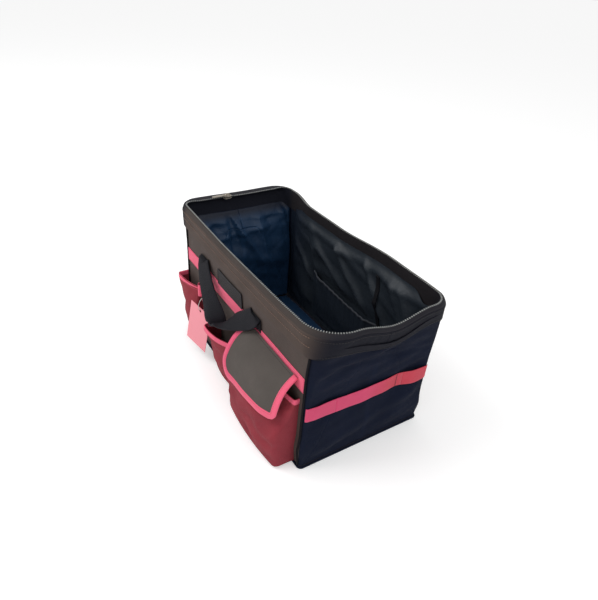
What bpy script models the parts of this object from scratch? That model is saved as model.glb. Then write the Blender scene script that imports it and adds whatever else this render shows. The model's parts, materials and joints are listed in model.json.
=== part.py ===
"""Open-mouth fabric tool bag: reinforced base, folding walls, two U-shaped wire
mouth frames with a zip, outside pockets, webbing handles and a hang tag.

Metres, +Z up. The origin is the centre of the base's underside. +X runs along
the bag to its right end, and the pockets are on the front, which faces -Y.
"""
from math import asin, atan2, cos, pi, radians, sin, tan

import bmesh
import bpy
from mathutils import Matrix, Vector

# Driving sizes of the bag
LENGTH = 0.460
WIDTH = 0.250
HEIGHT = 0.270
GAP = 0.0003
OVERRUN = 0.010

# Base
BASE_THICK = 0.005
BASE_CORNER = 0.006
BOARD_THICK = 0.004
BOARD_MARGIN = 0.0055
BOARD_CORNER = 0.012
PIPING_R = 0.0022

# Long walls and their layers
WALL_THICK = 0.004
LINING_THICK = 0.001
LINING_RISE = 0.002
BAND_THICK = 0.0015
BAND_HEIGHT = 0.042
STRIP_THICK = 0.0014
LONG_STRIP_WIDTH = 0.028
LONG_STRIP_DROP = 0.040
PATCH_THICK = 0.0012
PATCH_LENGTH = 0.094
PATCH_HEIGHT = 0.034
PATCH_X = -0.024
PATCH_DROP = 0.004

# Mouth frames, zip tapes and hems
FOLD_ANGLE = radians(24.5)
WIRE_R = 0.0025
WIRE_CORNER = 0.045
WIRE_TIP_Y = 0.036
RIM_OUTSIDE_LEFT = 0.034
RIM_OUTSIDE_RIGHT = 0.0175
TAPE_THICK = 0.0015
TAPE_IN = 0.010
CHAIN_WIDTH = 0.003
CHAIN_HEIGHT = 0.0025
HEM_THICK = 0.0012
HEM_HEIGHT = 0.018
HEM_CLEARANCE = 0.0008
RIM_MIDDLE_Y = 0.00075

# End panels and their webbing
END_THICK = 0.003
GABLE_DROP = 0.070
END_STRIP_WIDTH = 0.027
END_STRIP_BOTTOM = 0.106
TACK_Y = 0.056
STRIP_WAVE = 0.0014

# Handles
HANDLE_X = -0.034
HANDLE_HALF_SPAN = 0.099
HANDLE_DROP = 0.080
HANDLE_HINGE_DROP = 0.023
HANDLE_HANG = radians(22)
STRAP_WIDTH = 0.036
STRAP_THICK = 0.004
TAB_THICK = 0.002
TAB_HEIGHT = 0.043
TAB_DROP = 0.002

# Outside pockets: left and right ends, drop below the webbing strip or the flap's seam,
# and depth at the foot, belly and mouth
FABRIC = 0.0015
POCKET_FOOT = 0.008
POCKET_CORNER = 0.012
POCKET_BOW = 0.006
BINDING_THICK = 0.0014
BINDING_HEIGHT = 0.011
FLAP_POCKET_X = (0.047, 0.214)
FLAP_POCKET_DROP = 0.042
FLAP_POCKET_DEPTHS = (0.036, 0.040, 0.014)
FLAP_POCKET_BELLY_SHARE = 0.62
MIDDLE_POCKET_X = (-0.070, 0.043)
MIDDLE_POCKET_DROP = 0.042
MIDDLE_POCKET_DEPTHS = (0.014, 0.020, 0.026)
LEFT_POCKET_X = (-0.220, -0.158)
LEFT_POCKET_DROP = 0.030
LEFT_POCKET_DEPTHS = (0.010, 0.016, 0.022)
POCKET_BELLY_SHARE = 0.45

# Pen loops, between the left and the middle pocket
LOOP_X = -0.155
LOOP_WIDTH = 0.019
LOOP_DEPTH = 0.014
LOOP_HEIGHT = 0.026
LOOP_DROP = 0.016
LOOP_COUNT = 3
LOOP_SPACE = 0.0012

# Pocket flap, measured down its own face from the hinge
FLAP_HINGE_LEFT = 0.088
FLAP_LEFT = 0.050
FLAP_SHOULDER_DROP = 0.036
FLAP_RIGHT = 0.205
FLAP_SEAM_RISE = 0.020
FLAP_DROP = 0.094
FLAP_THICK = 0.003
FLAP_SLOPE = radians(27)
FLAP_LEFT_R = 0.026
FLAP_RIGHT_R = 0.008
FLAP_BINDING = 0.0016
HOOK_THICK = 0.0012
HOOK_LENGTH = 0.050
HOOK_HEIGHT = 0.016
HOOK_RISE = 0.012

# Zip slider and puller
SLIDER_Y = 0.026
SLIDER_LENGTH = 0.014
SLIDER_PLATE = 0.0012
SLIDER_OVERLAP = 0.0045
PULLER_LENGTH = 0.034
PULLER_WIDTH = 0.0075
PULLER_THICK = 0.0016

# Inner pocket on the rear lining
INNER_POCKET_X = (-0.116, 0.098)
INNER_POCKET_FOOT = 0.022
INNER_POCKET_TOP = 0.125
INNER_POCKET_DEPTHS = (0.006, 0.008, 0.008)

# Hang tag, and the nylon ring that hangs it from a pen loop
TAG_WIDTH = 0.060
TAG_HEIGHT = 0.092
TAG_THICK = 0.0010
TAG_OUT = 0.0267
TAG_FALL = 0.007
TAG_HANG = radians(4)
TAG_TILT = radians(8)
TAG_TWIST = radians(13.5)
TAG_HOLE_R = 0.0030
TAG_HOLE_DROP = 0.0065
RING_R = 0.0006
RING_HALF_WIDTH = 0.0115

# Names and signs of the two ends and the two long faces
ENDS = (("left", -1), ("right", 1))
FACES = (("front", -1), ("rear", 1))

# Segment counts
ARC_STEPS = 8
ROUND_SIDES = 10
STRAP_STEPS = 14
BOW_STEPS = 6
WAVE_STEPS = 8
RING_STEPS = 20

# Places that follow from the sizes above
HALF_LENGTH = LENGTH / 2
HALF_WIDTH = WIDTH / 2
WALL_END = HALF_LENGTH - END_THICK - GAP
SKIN_Y = HALF_WIDTH + GAP
FOLD_Y = HALF_WIDTH - WALL_THICK
FOLD_Z = BASE_THICK + GAP
TAPE_TOP = HEIGHT - CHAIN_HEIGHT / 2 + TAPE_THICK / 2
TAPE_BOTTOM = TAPE_TOP - TAPE_THICK
WIRE_Y = SKIN_Y - GAP - WIRE_R
WIRE_Z = TAPE_BOTTOM - GAP - WIRE_R
WALL_TOP = WIRE_Z - WIRE_R - GAP
LEAN = {-1: RIM_OUTSIDE_LEFT, 1: RIM_OUTSIDE_RIGHT}
WIRE_X = {side: HALF_LENGTH + lean for side, lean in LEAN.items()}
CORNER_X = {side: x - WIRE_CORNER for side, x in WIRE_X.items()}
CORNER_Y = WIRE_Y - WIRE_CORNER
BAND_BOTTOM = HEIGHT - BAND_HEIGHT
HEM_IN = WIRE_R + GAP
HEM_OUT = HEM_IN + HEM_THICK
HEM_BOTTOM = TAPE_BOTTOM - HEM_HEIGHT
NOTCH_Z = HEM_BOTTOM - HEM_CLEARANCE
GABLE_TOP = HEIGHT - GABLE_DROP
LONG_STRIP_BOTTOM = BAND_BOTTOM - LONG_STRIP_DROP - LONG_STRIP_WIDTH
PATCH_BOTTOM = BAND_BOTTOM - PATCH_DROP - PATCH_HEIGHT
TAB_BOTTOM = BAND_BOTTOM - TAB_DROP - TAB_HEIGHT
HANDLE_Z = BAND_BOTTOM - HANDLE_HINGE_DROP
FLAP_Z = LONG_STRIP_BOTTOM + FLAP_SEAM_RISE
FLAP_POCKET_TOP = FLAP_Z - FLAP_POCKET_DROP
MIDDLE_POCKET_TOP = LONG_STRIP_BOTTOM - MIDDLE_POCKET_DROP
LEFT_POCKET_TOP = LONG_STRIP_BOTTOM - LEFT_POCKET_DROP
LOOP_BOTTOM = LONG_STRIP_BOTTOM - LOOP_DROP - LOOP_HEIGHT
TAG_HOLE_Z = LOOP_BOTTOM - TAG_FALL
OVER_STRIP_Y = SKIN_Y + STRIP_THICK + GAP
HANDLE_Y = OVER_STRIP_Y + TAB_THICK + GAP + STRAP_THICK / 2
FLAP_Y = OVER_STRIP_Y + GAP + FLAP_THICK / 2
TAG_Y = SKIN_Y + TAG_OUT
TAG_X = LOOP_X + (LOOP_WIDTH + LOOP_SPACE) * (LOOP_COUNT - 1) + LOOP_WIDTH / 2
RING_FOOT_Z = TAG_HOLE_Z + TAG_HOLE_R - RING_R - 2 * GAP

# Colours
BLACK_CANVAS = (0.040, 0.035, 0.032)
NAVY_CANVAS = (0.010, 0.014, 0.030)
NAVY_SATIN = (0.012, 0.030, 0.065)
PINK_WEBBING = (0.80, 0.14, 0.24)
BURGUNDY = (0.30, 0.030, 0.045)
DARK_GREY = (0.060, 0.055, 0.052)
BLACK = (0.010, 0.010, 0.012)
STEEL = (0.55, 0.56, 0.58)
TAPE_GREY = (0.070, 0.075, 0.070)
TAG_PINK = (0.85, 0.25, 0.33)
NYLON = (0.80, 0.80, 0.78)


def clear_scene():
    for item in list(bpy.data.objects):
        bpy.data.objects.remove(item)


def material(name, colour, roughness, metallic=0.0):
    made = bpy.data.materials.new(name)
    made.use_nodes = True
    shader = made.node_tree.nodes["Principled BSDF"]
    shader.inputs["Base Color"].default_value = (*colour, 1.0)
    shader.inputs["Roughness"].default_value = roughness
    shader.inputs["Metallic"].default_value = metallic
    return made


def axis_empty(name, place, parent=None):
    """An empty on a joint's axis, which the pieces of one moving body hang from."""
    empty = bpy.data.objects.new(name, None)
    empty.location = place
    empty["world"] = place
    bpy.context.collection.objects.link(empty)
    if parent is not None:
        hang_on(empty, parent)
    return empty


def hang_on(item, empty):
    item.parent = empty
    item.matrix_parent_inverse = Matrix.Translation(-Vector(empty["world"]))


def finish(name, mesh_edit, finish_of, body=None, smooth=False):
    bmesh.ops.recalc_face_normals(mesh_edit, faces=mesh_edit.faces)
    mesh = bpy.data.meshes.new(name)
    mesh_edit.to_mesh(mesh)
    mesh_edit.free()
    item = bpy.data.objects.new(name, mesh)
    bpy.context.collection.objects.link(item)
    mesh.materials.append(finish_of)
    if smooth:
        mesh.shade_smooth()
        mesh.set_sharp_from_angle(angle=pi / 4)
    if body is not None:
        hang_on(item, body)
    return item


def add_loft(mesh_edit, rings):
    """Skins a stack of closed rings with the same number of points, and caps both ends."""
    rows = [[mesh_edit.verts.new(point) for point in ring] for ring in rings]
    count = len(rows[0])
    for low, high in zip(rows, rows[1:]):
        for i in range(count):
            j = (i + 1) % count
            mesh_edit.faces.new((low[i], low[j], high[j], high[i]))
    mesh_edit.faces.new(list(reversed(rows[0])))
    mesh_edit.faces.new(rows[-1])


def add_box(mesh_edit, low, high):
    ring = [(low[0], low[1]), (high[0], low[1]), (high[0], high[1]), (low[0], high[1])]
    add_loft(mesh_edit, [[(x, y, z) for x, y in ring] for z in (low[2], high[2])])


def box(name, low, high, finish_of, body=None):
    mesh_edit = bmesh.new()
    add_box(mesh_edit, low, high)
    return finish(name, mesh_edit, finish_of, body)


def prism_rings(outline, start, end, axis):
    """Two copies of a flat outline, set apart along X, Y or Z."""
    place = {
        "x": lambda a, b, at: (at, a, b),
        "y": lambda a, b, at: (a, at, b),
        "z": lambda a, b, at: (a, b, at),
    }[axis]
    return [[place(a, b, at) for a, b in outline] for at in (start, end)]


def prism(name, outline, start, end, axis, finish_of, body=None):
    mesh_edit = bmesh.new()
    add_loft(mesh_edit, prism_rings(outline, start, end, axis))
    return finish(name, mesh_edit, finish_of, body)


def arc(centre, radius, first, last, steps=ARC_STEPS):
    """Points on an arc, from angle first to angle last."""
    angles = [first + (last - first) * i / steps for i in range(steps + 1)]
    return [(centre[0] + radius * cos(a), centre[1] + radius * sin(a)) for a in angles]


def round_rectangle(half_x, half_y, radius):
    outline = []
    for turn, (sign_x, sign_y) in enumerate(((1, 1), (-1, 1), (-1, -1), (1, -1))):
        centre = (sign_x * (half_x - radius), sign_y * (half_y - radius))
        outline += arc(centre, radius, turn * pi / 2, (turn + 1) * pi / 2)
    return outline


def curve_tube(name, points, radius, finish_of, body=None, cyclic=False):
    """A round tube along a route, as a bevelled curve with filled ends."""
    curve = bpy.data.curves.new(name, "CURVE")
    curve.dimensions = "3D"
    curve.bevel_depth = radius
    curve.bevel_resolution = 2
    curve.use_fill_caps = True
    spline = curve.splines.new("POLY")
    spline.points.add(len(points) - 1)
    for place, point in zip(spline.points, points):
        place.co = (*point, 1.0)
    spline.use_cyclic_u = cyclic
    item = bpy.data.objects.new(name, curve)
    bpy.context.collection.objects.link(item)
    curve.materials.append(finish_of)
    if body is not None:
        hang_on(item, body)
    return item


def base_parts(looks):
    outline = round_rectangle(HALF_LENGTH, HALF_WIDTH, BASE_CORNER)
    prism("base_panel", outline, 0, BASE_THICK, "z", looks["black_canvas"])
    board_x = WALL_END - BOARD_MARGIN
    board_y = FOLD_Y - BOARD_MARGIN
    board_z = BASE_THICK + GAP
    outline = round_rectangle(board_x, board_y, BOARD_CORNER)
    prism("base_board", outline, board_z, board_z + BOARD_THICK, "z", looks["navy_satin"])
    reach = GAP + PIPING_R
    ring = round_rectangle(HALF_LENGTH + reach, HALF_WIDTH + reach, BASE_CORNER + reach)
    height = PIPING_R + GAP
    points = [(x, y, height) for x, y in ring]
    curve_tube("base_piping", points, PIPING_R, looks["black"], cyclic=True)


def gable_outline(inset=0.0):
    """The part of an end panel that stays put: its slanted sides lie on the closed walls."""
    foot_y = FOLD_Y - GAP - inset
    top_y = foot_y - (GABLE_TOP - FOLD_Z) * tan(FOLD_ANGLE)
    return [(-foot_y, FOLD_Z), (foot_y, FOLD_Z), (top_y, GABLE_TOP), (-top_y, GABLE_TOP)]


def corner_outline(way):
    """The loose part of an end panel, between a slanted side and the wall that it is sewn to."""
    foot_y = FOLD_Y + GAP
    top_y = foot_y - (GABLE_TOP - FOLD_Z) * tan(FOLD_ANGLE)
    outline = [
        (foot_y, FOLD_Z),
        (HALF_WIDTH, FOLD_Z),
        (HALF_WIDTH, NOTCH_Z),
        (CORNER_Y, NOTCH_Z),
        (CORNER_Y, WALL_TOP),
        (GAP / 2, WALL_TOP),
        (GAP / 2, GABLE_TOP + GAP),
        (top_y, GABLE_TOP + GAP),
    ]
    return [(way * y, z) for y, z in outline]


def end_corner(name, side, way, finish_of):
    """A loose corner of an end: above the gable, its middle leans out to the rim."""
    inner = side * (HALF_LENGTH - END_THICK)
    outer = side * HALF_LENGTH
    crease_z = GABLE_TOP + GAP
    mesh_edit = bmesh.new()
    add_loft(mesh_edit, prism_rings(corner_outline(way), inner, outer, "x"))
    for place, across in (((0, 0, crease_z), (0, 0, 1)), ((0, way * CORNER_Y, 0), (0, 1, 0))):
        geometry = mesh_edit.verts[:] + mesh_edit.edges[:] + mesh_edit.faces[:]
        bmesh.ops.bisect_plane(mesh_edit, geom=geometry, plane_co=place, plane_no=across)
    for corner in mesh_edit.verts:
        rise = (corner.co.z - crease_z) / (NOTCH_Z - crease_z)
        room = (HALF_WIDTH - abs(corner.co.y)) / (HALF_WIDTH - CORNER_Y)
        corner.co.x += side * LEAN[side] * min(max(rise, 0.0), 1.0) * min(max(room, 0.0), 1.0)
    bmesh.ops.triangulate(mesh_edit, faces=mesh_edit.faces[:])
    finish(name, mesh_edit, finish_of)


def end_strip_outline(side):
    """Plan of the webbing on an end: tacked at four places and slack between them."""
    inner_x = HALF_LENGTH + GAP
    tacks = (-HALF_WIDTH, -TACK_Y, TACK_Y, HALF_WIDTH)
    inner = []
    for first, last in zip(tacks, tacks[1:]):
        for i in range(WAVE_STEPS):
            share = i / WAVE_STEPS
            lift = STRIP_WAVE * sin(pi * share) ** 2
            inner.append((inner_x + lift, first + (last - first) * share))
    inner.append((inner_x, HALF_WIDTH))
    outer = [(x + STRIP_THICK, y) for x, y in reversed(inner)]
    return [(side * x, y) for x, y in inner + outer]


def end_parts(looks):
    for end, side in ENDS:
        inner = side * (HALF_LENGTH - END_THICK)
        outer = side * HALF_LENGTH
        navy = looks["navy_canvas"]
        prism(f"end_panel_{end}", gable_outline(), inner, outer, "x", navy)
        for face, way in FACES:
            end_corner(f"end_corner_{end}_{face}", side, way, navy)
        lining_outer = inner - side * GAP
        lining_inner = lining_outer - side * LINING_THICK
        outline = gable_outline(inset=WALL_THICK + LINING_THICK)
        satin = looks["navy_satin"]
        prism(f"end_lining_{end}", outline, lining_inner, lining_outer, "x", satin)
        bottom = END_STRIP_BOTTOM
        top = bottom + END_STRIP_WIDTH
        prism(f"end_strip_{end}", end_strip_outline(side), bottom, top, "z", looks["pink"])


def notched_outline(bottom, top):
    """A long panel's outline, with its top corners cut away below the rim's hem."""
    sides = []
    for side in (1, -1):
        notch_x = CORNER_X[side] - GAP
        line = [(WALL_END, bottom), (WALL_END, NOTCH_Z), (notch_x, NOTCH_Z), (notch_x, top)]
        sides.append([(side * x, z) for x, z in line])
    return sides[0] + list(reversed(sides[1]))


def wall_parts(face, way, body, looks):
    """One long wall with its lining, mouth band, webbing strip and corner piping."""
    def sheet(name, outline, near, far, finish_of):
        prism(name, outline, way * near, way * far, "y", finish_of, body)

    def slab(name, near, far, half_x, bottom, top, finish_of):
        outline = [(-half_x, bottom), (half_x, bottom), (half_x, top), (-half_x, top)]
        sheet(f"{face}_{name}", outline, near, far, finish_of)

    canvas = looks["black_canvas"]
    sheet(f"{face}_wall", notched_outline(FOLD_Z, WALL_TOP), FOLD_Y, HALF_WIDTH, canvas)
    lining_y = FOLD_Y - GAP
    lining_half = WALL_END - WALL_THICK
    lining_foot = FOLD_Z + LINING_RISE
    lining_top = BAND_BOTTOM
    satin = looks["black_satin"]
    slab("lining", lining_y - LINING_THICK, lining_y, lining_half, lining_foot, lining_top, satin)
    outline = notched_outline(BAND_BOTTOM, TAPE_BOTTOM - GAP)
    sheet(f"{face}_band", outline, SKIN_Y, SKIN_Y + BAND_THICK, canvas)
    strip_far = SKIN_Y + STRIP_THICK
    strip_half = WALL_END - GAP - 2 * PIPING_R
    strip_low = LONG_STRIP_BOTTOM
    strip_top = strip_low + LONG_STRIP_WIDTH
    slab("strip", SKIN_Y, strip_far, strip_half, strip_low, strip_top, looks["pink"])

    piping_x = WALL_END - PIPING_R
    piping_y = way * (SKIN_Y + PIPING_R)
    for end, side in ENDS:
        start = (side * piping_x, piping_y, FOLD_Z + PIPING_R)
        stop = (side * piping_x, piping_y, BAND_BOTTOM - GAP)
        name = f"{face}_piping_{end}"
        curve_tube(name, (start, stop), PIPING_R, looks["black"], body)


def cut(item, cutter):
    """Takes a cutter out of an item with a Boolean modifier."""
    cutter.hide_render = True
    cutter.display_type = "WIRE"
    modifier = item.modifiers.new("cut", "BOOLEAN")
    modifier.operation = "DIFFERENCE"
    modifier.solver = "EXACT"
    modifier.object = cutter


def tab_parts(face, way, body, looks):
    """The sewn ends of a handle, flat on the wall."""
    low_y, high_y = sorted((way * OVER_STRIP_Y, way * (OVER_STRIP_Y + TAB_THICK)))
    for end, side in ENDS:
        middle = HANDLE_X + side * HANDLE_HALF_SPAN
        low = (middle - STRAP_WIDTH / 2, low_y, TAB_BOTTOM)
        high = (middle + STRAP_WIDTH / 2, high_y, TAB_BOTTOM + TAB_HEIGHT)
        box(f"{face}_handle_tab_{end}", low, high, looks["strap"], body)


def zip_profile():
    """Section of a zip half, as offsets outside the wire and heights, from its outer foot."""
    chain_out = -TAPE_IN
    chain_in = chain_out - CHAIN_WIDTH
    return [
        (HEM_OUT, TAPE_BOTTOM),
        (HEM_OUT, TAPE_TOP),
        (chain_out, TAPE_TOP),
        (chain_out, HEIGHT),
        (chain_in, HEIGHT),
        (chain_in, HEIGHT - CHAIN_HEIGHT),
        (chain_out, HEIGHT - CHAIN_HEIGHT),
        (chain_out, TAPE_BOTTOM),
    ]


def zip_part(face, way, body, looks):
    """The straight zip tape along one long side, with its row of teeth."""
    start = GAP - CORNER_X[-1]
    end = CORNER_X[1] - GAP
    outline = [(way * (WIRE_Y + offset), z) for offset, z in zip_profile()]
    prism(f"{face}_zip_tape", outline, start, end, "x", looks["tape"], body)


def rim_path(offset, side, way, first_y, last_y):
    """Plan of the rim at an offset outside the wire: round the corner, then along the end.

    first_y and last_y bound the run, measured out from the bag's middle.
    """
    if first_y > CORNER_Y:
        path = arc((CORNER_X[side], CORNER_Y), WIRE_CORNER + offset, pi / 2, 0)
    else:
        path = [(WIRE_X[side] + offset, first_y)]
    path.append((WIRE_X[side] + offset, last_y))
    return [(side * x, way * y) for x, y in path]


def rim_parts(face, way, body, looks):
    """Tape, teeth and hem round each corner, and their soft ends past the wire's tip."""
    runs = {
        "rim": (WIRE_Y, WIRE_TIP_Y + GAP / 2),
        "rim_end": (WIRE_TIP_Y - GAP / 2, RIM_MIDDLE_Y),
    }
    profile = [(HEM_IN, TAPE_BOTTOM), (HEM_IN, HEM_BOTTOM), (HEM_OUT, HEM_BOTTOM)]
    profile += zip_profile()[1:]
    for end, side in ENDS:
        for run, (first_y, last_y) in runs.items():
            lines = [rim_path(o, side, way, first_y, last_y) for o, z in profile]
            rings = []
            for places in zip(*lines):
                rings.append([(x, y, z) for (x, y), (o, z) in zip(places, profile)])
            mesh_edit = bmesh.new()
            add_loft(mesh_edit, rings)
            finish(f"{face}_{run}_{end}", mesh_edit, looks["tape"], body)


def wire_part(face, way, body, looks):
    """The U-shaped steel wire inside one half of the mouth."""
    right = rim_path(0, 1, way, WIRE_Y, WIRE_TIP_Y)
    left = rim_path(0, -1, way, WIRE_Y, WIRE_TIP_Y)
    points = [(x, y, WIRE_Z) for x, y in list(reversed(left)) + right]
    curve_tube(f"{face}_frame_wire", points, WIRE_R, looks["steel"], body)


def strap_route(share):
    """A place on a hanging handle: across from its middle, and down from its hinge line."""
    control_across_shares = (1.0, 0.92, 0.42, 0.0)
    control_down_shares = (0.0, 0.36, 1.0, 1.0)
    rest = 1 - share
    weights = (rest ** 3, 3 * rest ** 2 * share, 3 * rest * share ** 2, share ** 3)
    across = sum(w * c for w, c in zip(weights, control_across_shares))
    down = sum(w * c for w, c in zip(weights, control_down_shares))
    return across * HANDLE_HALF_SPAN, down * HANDLE_DROP


def handle_part(face, way, body, looks):
    """A webbing handle: flat on the wall at its ends, turned on edge along the grip.

    Each leg turns only as far as the distance of its upper edge from the wall leaves room for.
    """
    places = []
    for i in range(-STRAP_STEPS, STRAP_STEPS + 1):
        across, down = strap_route(1 - abs(i) / STRAP_STEPS)
        side = 1 if i > 0 else -1
        places.append(Vector((side * across, 0, -down)))
    half = STRAP_WIDTH / 2
    normal = Vector((0, 1, 0))
    rings = []
    for i, place in enumerate(places):
        if i in (0, len(places) - 1):
            along = Vector((0, 0, -1 if i == 0 else 1))
        else:
            along = (places[i + 1] - places[i - 1]).normalized()
        flat = along.cross(normal)
        room = max(0.0, -place.z - abs(flat.z) * half) * sin(HANDLE_HANG)
        turned = Matrix.Rotation(-way * asin(min(1.0, room / half)), 3, along)
        wide = turned @ flat * half
        thick = turned @ normal * (STRAP_THICK / 2)
        rings.append([place + wide + thick, place - wide + thick])
        rings[-1] += [place - wide - thick, place + wide - thick]
    mesh_edit = bmesh.new()
    add_loft(mesh_edit, rings)
    item = finish(f"{face}_handle", mesh_edit, looks["strap"])
    item.location = (HANDLE_X, way * HANDLE_Y, HANDLE_Z)
    item.rotation_euler = (way * HANDLE_HANG, 0, 0)
    hang_on(item, body)


def pocket_ring(ends, depth, z, back_y, corner, bow):
    """Plan of a pocket at one height: straight back, round corners and a bowed front."""
    left, right = ends
    front_y = back_y - depth
    corner = min(corner, depth / 2)
    ring = [(left, back_y)]
    ring += arc((left + corner, front_y + corner), corner, pi, 1.5 * pi, BOW_STEPS // 2)
    run = right - left - 2 * corner
    for i in range(1, BOW_STEPS):
        share = i / BOW_STEPS
        ring.append((left + corner + run * share, front_y - bow * sin(pi * share)))
    ring += arc((right - corner, front_y + corner), corner, 1.5 * pi, 2 * pi, BOW_STEPS // 2)
    ring.append((right, back_y))
    return [(x, y, z) for x, y in ring]


def pocket(name, ends, foot, top, depths, belly_share, back_y, bow, finish_of, body):
    """An open-topped pocket, which the wall behind it closes."""
    foot_depth, belly_depth, mouth_depth = depths
    belly = foot + (top - foot) * belly_share
    straight = top - BINDING_HEIGHT - GAP
    levels = ((foot, foot_depth), (belly, belly_depth), (straight, mouth_depth), (top, mouth_depth))
    mesh_edit = bmesh.new()
    rings = [pocket_ring(ends, depth, z, back_y, POCKET_CORNER, bow) for z, depth in levels]
    add_loft(mesh_edit, rings)
    shell = finish(name, mesh_edit, finish_of, body)
    inside_ends = (ends[0] + FABRIC, ends[1] - FABRIC)
    inner_y = back_y + OVERRUN
    levels = (
        (foot + FABRIC, foot_depth),
        (belly, belly_depth),
        (straight, mouth_depth),
        (top + OVERRUN, mouth_depth),
    )
    mesh_edit = bmesh.new()
    corner = POCKET_CORNER - FABRIC
    inside = OVERRUN - FABRIC
    rings = [pocket_ring(inside_ends, d + inside, z, inner_y, corner, bow) for z, d in levels]
    add_loft(mesh_edit, rings)
    cutter = finish(f"{name}_hollow", mesh_edit, finish_of, body)
    cut(shell, cutter)


def binding_outline(ends, depth, back_y, bow):
    """Plan of a folded edge strip outside the mouth of a pocket."""
    def line(grow):
        grown = (ends[0] - grow, ends[1] + grow)
        corner = min(POCKET_CORNER, depth / 2) + grow
        ring = pocket_ring(grown, depth + grow, 0, back_y, corner, bow)
        return [(x, y) for x, y, z in ring]

    return line(GAP + BINDING_THICK) + list(reversed(line(GAP)))


def pocket_parts(body, looks):
    back_y = -SKIN_Y
    share = POCKET_BELLY_SHARE
    flap_share = FLAP_POCKET_BELLY_SHARE
    pockets = {
        "flap_pocket": (FLAP_POCKET_X, FLAP_POCKET_TOP, FLAP_POCKET_DEPTHS, flap_share),
        "middle_pocket": (MIDDLE_POCKET_X, MIDDLE_POCKET_TOP, MIDDLE_POCKET_DEPTHS, share),
        "left_pocket": (LEFT_POCKET_X, LEFT_POCKET_TOP, LEFT_POCKET_DEPTHS, share),
    }
    red = looks["burgundy"]
    pink = looks["pink"]
    for name, (ends, top, depths, belly) in pockets.items():
        pocket(name, ends, POCKET_FOOT, top, depths, belly, back_y, POCKET_BOW, red, body)
        outline = binding_outline(ends, depths[2], back_y, POCKET_BOW)
        prism(f"{name}_binding", outline, top - BINDING_HEIGHT, top, "z", pink, body)


def pen_loop_part(body, looks):
    """One strip of webbing, sewn down between loops that are open above and below."""
    thin = BINDING_THICK
    reach = LOOP_DEPTH - thin
    unit_arc = arc((0, 0), 1, pi, 2 * pi)
    outer = []
    inner = []
    for i in range(LOOP_COUNT):
        middle_x = LOOP_X + i * (LOOP_WIDTH + LOOP_SPACE) + LOOP_WIDTH / 2
        for x, y in unit_arc:
            outer.append((middle_x + x * LOOP_WIDTH / 2, y * reach - thin - SKIN_Y))
            inner.append((middle_x + x * (LOOP_WIDTH / 2 - thin), y * reach - SKIN_Y))
    outline = outer + list(reversed(inner))
    top = LOOP_BOTTOM + LOOP_HEIGHT
    prism("pen_loops", outline, LOOP_BOTTOM, top, "z", looks["pink"], body)


def flap_line(grow):
    """The flap's free edge, grown outwards: x along the hinge, z down from it."""
    left = FLAP_LEFT - grow
    right = FLAP_RIGHT + grow
    bottom = -FLAP_DROP - grow
    left_r = FLAP_LEFT_R + grow
    right_r = FLAP_RIGHT_R + grow
    line = [(FLAP_HINGE_LEFT - grow, 0), (left, -FLAP_SHOULDER_DROP)]
    line += arc((left + left_r, bottom + left_r), left_r, pi, 1.5 * pi)
    line += arc((right - right_r, bottom + right_r), right_r, 1.5 * pi, 2 * pi)
    line.append((right, 0))
    return line


def flap_parts(wall_body, flap_body, looks):
    """The flap over the right pocket, its binding, and a hook strip that meets a loop strip."""
    half = FLAP_THICK / 2
    flap = prism("pocket_flap", flap_line(0), -half, half, "y", looks["dark_grey"])
    outline = flap_line(GAP + FLAP_BINDING) + list(reversed(flap_line(GAP)))
    binding = prism("flap_binding", outline, -half - GAP, half + GAP, "y", looks["pink"])
    middle_x = (FLAP_LEFT + FLAP_RIGHT) / 2
    left_x = middle_x - HOOK_LENGTH / 2
    right_x = middle_x + HOOK_LENGTH / 2
    hook_low = -FLAP_DROP + HOOK_RISE
    low = (left_x, half + GAP, hook_low)
    high = (right_x, half + GAP + HOOK_THICK, hook_low + HOOK_HEIGHT)
    hook = box("flap_hook_strip", low, high, looks["black"])
    for item in (flap, binding, hook):
        item.location = (0, -FLAP_Y, FLAP_Z)
        item.rotation_euler = (-FLAP_SLOPE, 0, 0)
        hang_on(item, flap_body)

    foot_depth, belly_depth, mouth_depth = FLAP_POCKET_DEPTHS
    belly_z = POCKET_FOOT + (FLAP_POCKET_TOP - POCKET_FOOT) * FLAP_POCKET_BELLY_SHARE
    straight_z = FLAP_POCKET_TOP - BINDING_HEIGHT - GAP
    slope = atan2(belly_depth - mouth_depth, straight_z - belly_z)
    middle_y = -SKIN_Y - (belly_depth + mouth_depth) / 2 - POCKET_BOW
    low = (left_x, -GAP - HOOK_THICK, -HOOK_HEIGHT / 2)
    high = (right_x, -GAP, HOOK_HEIGHT / 2)
    loop = box("pocket_loop_strip", low, high, looks["black"])
    loop.location = (0, middle_y, (belly_z + straight_z) / 2)
    loop.rotation_euler = (-slope, 0, 0)
    hang_on(loop, wall_body)


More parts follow.
